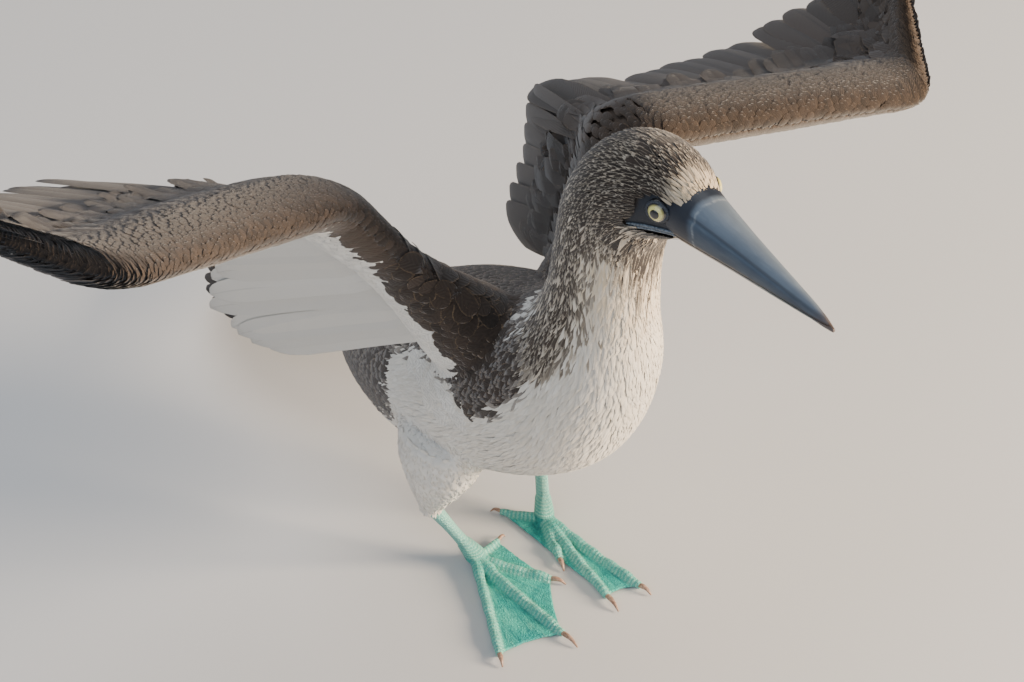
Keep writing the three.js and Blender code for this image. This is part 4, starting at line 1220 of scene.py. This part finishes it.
# %% [markdown]
# ## Legs and feet
# Webbed feet are toes with skin stretched between them. The toes and webs are closed forms melted into one, then
# each point keeps how far it is from the nearest toe and how far along it lies, so that scales and creases can
# follow the toes without any unwrapping.

# %% Toes, webs and shanks
# Share along, radius across, radius in depth
SHANK = np.array([[.02, 5.2, 6], [.2, 3.9, 5], [.5, 3.6, 4.6], [.82, 4.3, 5.6], [1, 5.2, 6.4], [1.06, 4.6, 5.6]])
KNUCKLE = np.array([[-.14, 5, 5], [0, 6.4, 6.4], [.25, 4.6, 5.4]])
# Share along, height of the middle, radius
TOE = np.array([[0, 6, 4.6], [.2, 4.6, 4], [.45, 3.4, 4.2], [.62, 3, 3.5], [.8, 2.8, 3.8], [1, 2.6, 2.6]])
# Share along, height of the middle, radius across, radius in depth
CLAW = np.array([[-.2, 3, 1.9, 1.7], [.3, 3.1, 1.9, 1.8], [.65, 2.8, 1.3, 1.3], [1, 1.2, .5, .5]])
CLAW_LENGTH = dict(hallux=6, inner=9, middle=13, outer=9)


def rod(middle, wide, deep, high, sides=20):
    """Ovals square to a line of points, with high as the way of their depth."""
    along = unit(np.gradient(middle, axis=0))
    side = unit(np.cross(along, high))
    over = np.cross(side, along)
    turn = turns(sides)
    rings = middle[:, None] + side[:, None] * (wide[:, None] * np.cos(turn))[..., None] + over[:, None] * (
        deep[:, None] * np.sin(turn))[..., None]
    return closed_tube(rings)


def leg_parts(leg):
    """Closed shells of shank, knuckle, toes and webs, the toes' lines, and each claw's points and faces."""
    base, heel = np.array(leg["base"], float), np.array(leg["heel"], float)
    shells, lines, claws, tips = [], [], {}, {}
    for stations in (SHANK, KNUCKLE):
        t = np.linspace(stations[0, 0], stations[-1, 0], 24)
        wide, deep = (np.interp(t, stations[:, 0], stations[:, k]) for k in (1, 2))
        shells.append(rod(base + (heel - base) * t[:, None], wide, deep, [0, 1, 0]))
    for name, (length, angle) in leg["toes"].items():
        turn = np.radians(leg["out"] * angle)
        way = np.array([np.sin(turn), -np.cos(turn), 0])
        reach, slim = length - CLAW_LENGTH[name], .75 if name == "hallux" else 1.0
        t = np.linspace(0, 1, 60)
        high, radius = (np.interp(t, TOE[:, 0], TOE[:, k]) for k in (1, 2))
        joints = 1 + .07 * np.cos(t * reach / 14 * 2 * np.pi)
        middle = np.stack([base[0] + way[0] * reach * t, base[1] + way[1] * reach * t, high + .4], 1)
        flesh = radius * slim * joints * (1 - .2 * np.sin(np.pi * t))
        middle[:, 2] = np.maximum(flesh, middle[:, 2] - .5)
        shells.append(rod(middle, flesh * .86, flesh, [0, 0, 1]))
        lines.append(middle)
        tips[name] = np.array([base[0] + way[0] * (reach - 1), base[1] + way[1] * (reach - 1), 1.9])
        t = np.linspace(-.2, 1, 16)
        wide, deep = (np.interp(t, CLAW[:, 0], CLAW[:, k]) * slim * .85 for k in (2, 3))
        high = np.interp(t, CLAW[:, 0], CLAW[:, 1]) + .9 * np.sin(np.clip(t, 0, 1) * np.pi)
        far = reach + CLAW_LENGTH[name] * t
        path = np.stack([base[0] + way[0] * far, base[1] + way[1] * far, high], 1)
        claws[name] = rod(path, wide, deep, [0, 0, 1], 14)
    root = np.array([base[0], base[1], 1.9])
    for one, two in (("hallux", "inner"), ("inner", "middle"), ("middle", "outer")):
        shells.append(web(root, tips[one], tips[two]))
    return shells, lines, claws


def web(root, one, two):
    """A grid from the toe base out to the tips: v runs out to an edge that is hollow in its middle, u across."""
    u, v = np.meshgrid(np.linspace(0, 1, 24), np.linspace(.02, 1, 30), indexing="xy")
    reach = v * (1 - WEB_HOLLOW * np.sin(np.pi * u))
    flat = root + (one + (two - one) * u[..., None] - root) * reach[..., None]
    flat[..., 2] += .28 * np.sin(u * 19 + 3 * v) * np.sin(np.pi * u) * v
    up_z = np.array([0, 0, WEB_THICK / 2])
    top, low = flat + up_z, flat - up_z
    rows, cols = u.shape
    grid = np.arange(rows * cols).reshape(rows, cols)
    quad = lambda g: np.stack([g[:-1, :-1], g[:-1, 1:], g[1:, 1:], g[1:, :-1]], -1).reshape(-1, 4)
    edge = np.concatenate([grid[0, :-1], grid[:-1, -1], grid[-1, :0:-1], grid[:0:-1, 0]])
    following = np.roll(edge, -1)
    wall = np.stack([edge, edge + rows * cols, following + rows * cols, following], 1)
    faces = [quad(grid)[:, ::-1], quad(grid) + rows * cols, wall[:, ::-1]]
    return np.concatenate([top.reshape(-1, 3), low.reshape(-1, 3)]), [np.concatenate(faces)]


WEB_HOLLOW, WEB_THICK = .03, 1.5
p = Pattern("foot_skin", Roughness=.5, Specular_IOR_Level=.4)
toe_far, toe_run, height = (p.point(name) for name in ("toe_far", "toe_run", "height"))
where = p.place()
cells = p.node("TexVoronoi", where, None, 620.0, feature="DISTANCE_TO_EDGE").outputs["Distance"]
cracks = p.rest(p.ramp(cells, .0, .12))
broad = p.noise(where, 55.0, 5.0)
creases = p.noise(p.place(), 260.0, 6.0, .7)
scutes = p.maths("SINE", p.times(toe_run, 2.4))
on_toe = p.rest(p.ramp(toe_far, 2.4, 5.2))
pleats = p.noise(p.node("CombineXYZ", p.point("fan"), p.times(p.point("reach"), .05), 0.0).outputs[0], 1.0, 5.0, .6)
web_skin = p.mix(p.ramp(broad, .35, .65), (.025, .40, .35, 1), (.07, .58, .46, 1))
# Painted light and shade on the web's pleats: lighter on their raised crests and darker in the folds, from the same
# noise that drives the bump.
web_skin = p.coat(web_skin, p.ramp(pleats, .5, .72), .6, (.17, .58, .44, 1))
web_skin = p.coat(web_skin, p.ramp(pleats, .48, .34), .5, (.01, .22, .24, 1))
web_skin = p.coat(web_skin, p.ramp(creases, .45, .62), .5, (.02, .19, .20, 1))
toe_skin = p.mix(p.ramp(scutes, -.6, .8), (.13, .52, .43, 1), (.30, .68, .53, 1))
skin_colour = p.mix(on_toe, web_skin, toe_skin)
skin_colour = p.coat(skin_colour, cracks, .4, (.015, .16, .17, 1))
skin_colour = p.coat(skin_colour, p.ramp(height, 9.0, 30.0), .5, (.30, .58, .52, 1))
relief = p.line(pleats, 1.6, p.line(creases, .5, p.times(cells, 1.5)))
relief = p.line(p.times(scutes, on_toe), .16, relief)
TURQUOISE = p.done(skin_colour, relief, .0007, .9)

p = Pattern("claw_horn", Roughness=.38)
streak = p.noise(p.place(), 700.0)
CLAW_HORN = p.done(p.mix(p.ramp(streak, .35, .7), (.28, .16, .11, 1), (.50, .34, .25, 1)), streak, .0002, .4)

FOOT_VOXEL, FOOT_ROUNDS, SHANK_FROM = .75, 3, 9
for name, leg in LEGS.items():
    shells, lines, claws = leg_parts(leg)
    points, quads = melted(shells, FOOT_VOXEL, FOOT_ROUNDS)
    points[:, 2] = np.maximum(points[:, 2], 0)
    run = np.concatenate([np.linspace(0, np.linalg.norm(l[-1] - l[0]), len(l)) for l in lines])
    index, far = nearest_on(np.concatenate(lines), points)
    on_shank = points[:, 2] > SHANK_FROM
    ahead, sideways = points[:, 1] - leg["base"][1], points[:, 0] - leg["base"][0]
    build(name + "_foot_and_shank", points, [quads], TURQUOISE, "foot_skin",
          numbers={"toe_far": np.where(on_shank, 2.0, far), "height": points[:, 2],
                   "toe_run": np.where(on_shank, points[:, 2] * 1.3, run[index]),
                   "fan": np.arctan2(ahead, sideways) * 26, "reach": np.hypot(ahead, sideways)},
          replaces=[name + "_foot", name + "_shank"])
    for toe, (claw_points, faces) in claws.items():
        claw_points[:, 2] = np.maximum(claw_points[:, 2], .3)
        build(f"{name}_{toe}_claw_horn", claw_points, faces, CLAW_HORN, "claw_horn",
              replaces=[f"{name}_{toe}_claw"])
    print(name, "foot", len(points), "points")

# %% [markdown]
# ## Floor and light
# A pale floor and soft lamps show the form plainly. The sun of the photograph is low and warm on the bird's left, so
# the main lamp is large, warm and low on that side, and a cool lamp fills the shade.

# %% Stage
def lamp(name, place_mm, aim, size, power, colour):
    """A square soft lamp at a point in mm that faces another."""
    data = bpy.data.lights.new(name, "AREA")
    data.size, data.energy, data.color = size, power, colour
    start, end = np.array(place_mm, float), np.array(aim, float)
    facing = unit(start - end)
    side = unit(np.cross([0, 0, 1.0], facing))
    add_object(name, data).matrix_world = standing(start, side, np.cross(facing, side), facing)


lamp("warm_key", [1500, -1500, 700], [0, 0, 220], .8, 165, (1.0, .80, .58))
lamp("cool_fill", [-1500, -900, 1500], [0, 0, 200], 2.2, 26, (.72, .84, 1.0))
lamp("soft_top", [200, 900, 2000], [0, 0, 250], 1.8, 22, (.95, .97, 1.0))
world = bpy.data.worlds.new("room")
bpy.context.scene.world = world
world.use_nodes = True
background = world.node_tree.nodes["Background"]
background.inputs[0].default_value, background.inputs[1].default_value = (.70, .76, .85, 1), .30

FLOOR_HALF = 6
floor_mesh = bpy.data.meshes.new("floor")
floor_mesh.from_pydata([(x * FLOOR_HALF, y * FLOOR_HALF, 0) for x, y in ((-1, -1), (1, -1), (1, 1), (-1, 1))], [],
                       [(0, 1, 2, 3)])
floor = add_object("floor", floor_mesh)
floor_mesh.materials.append(Pattern("pale_floor", Roughness=.85, Base_Color=(.62, .62, .62, 1)).material)

# %% Take away the helper skin shape
bpy.data.objects.remove(skin_shape)
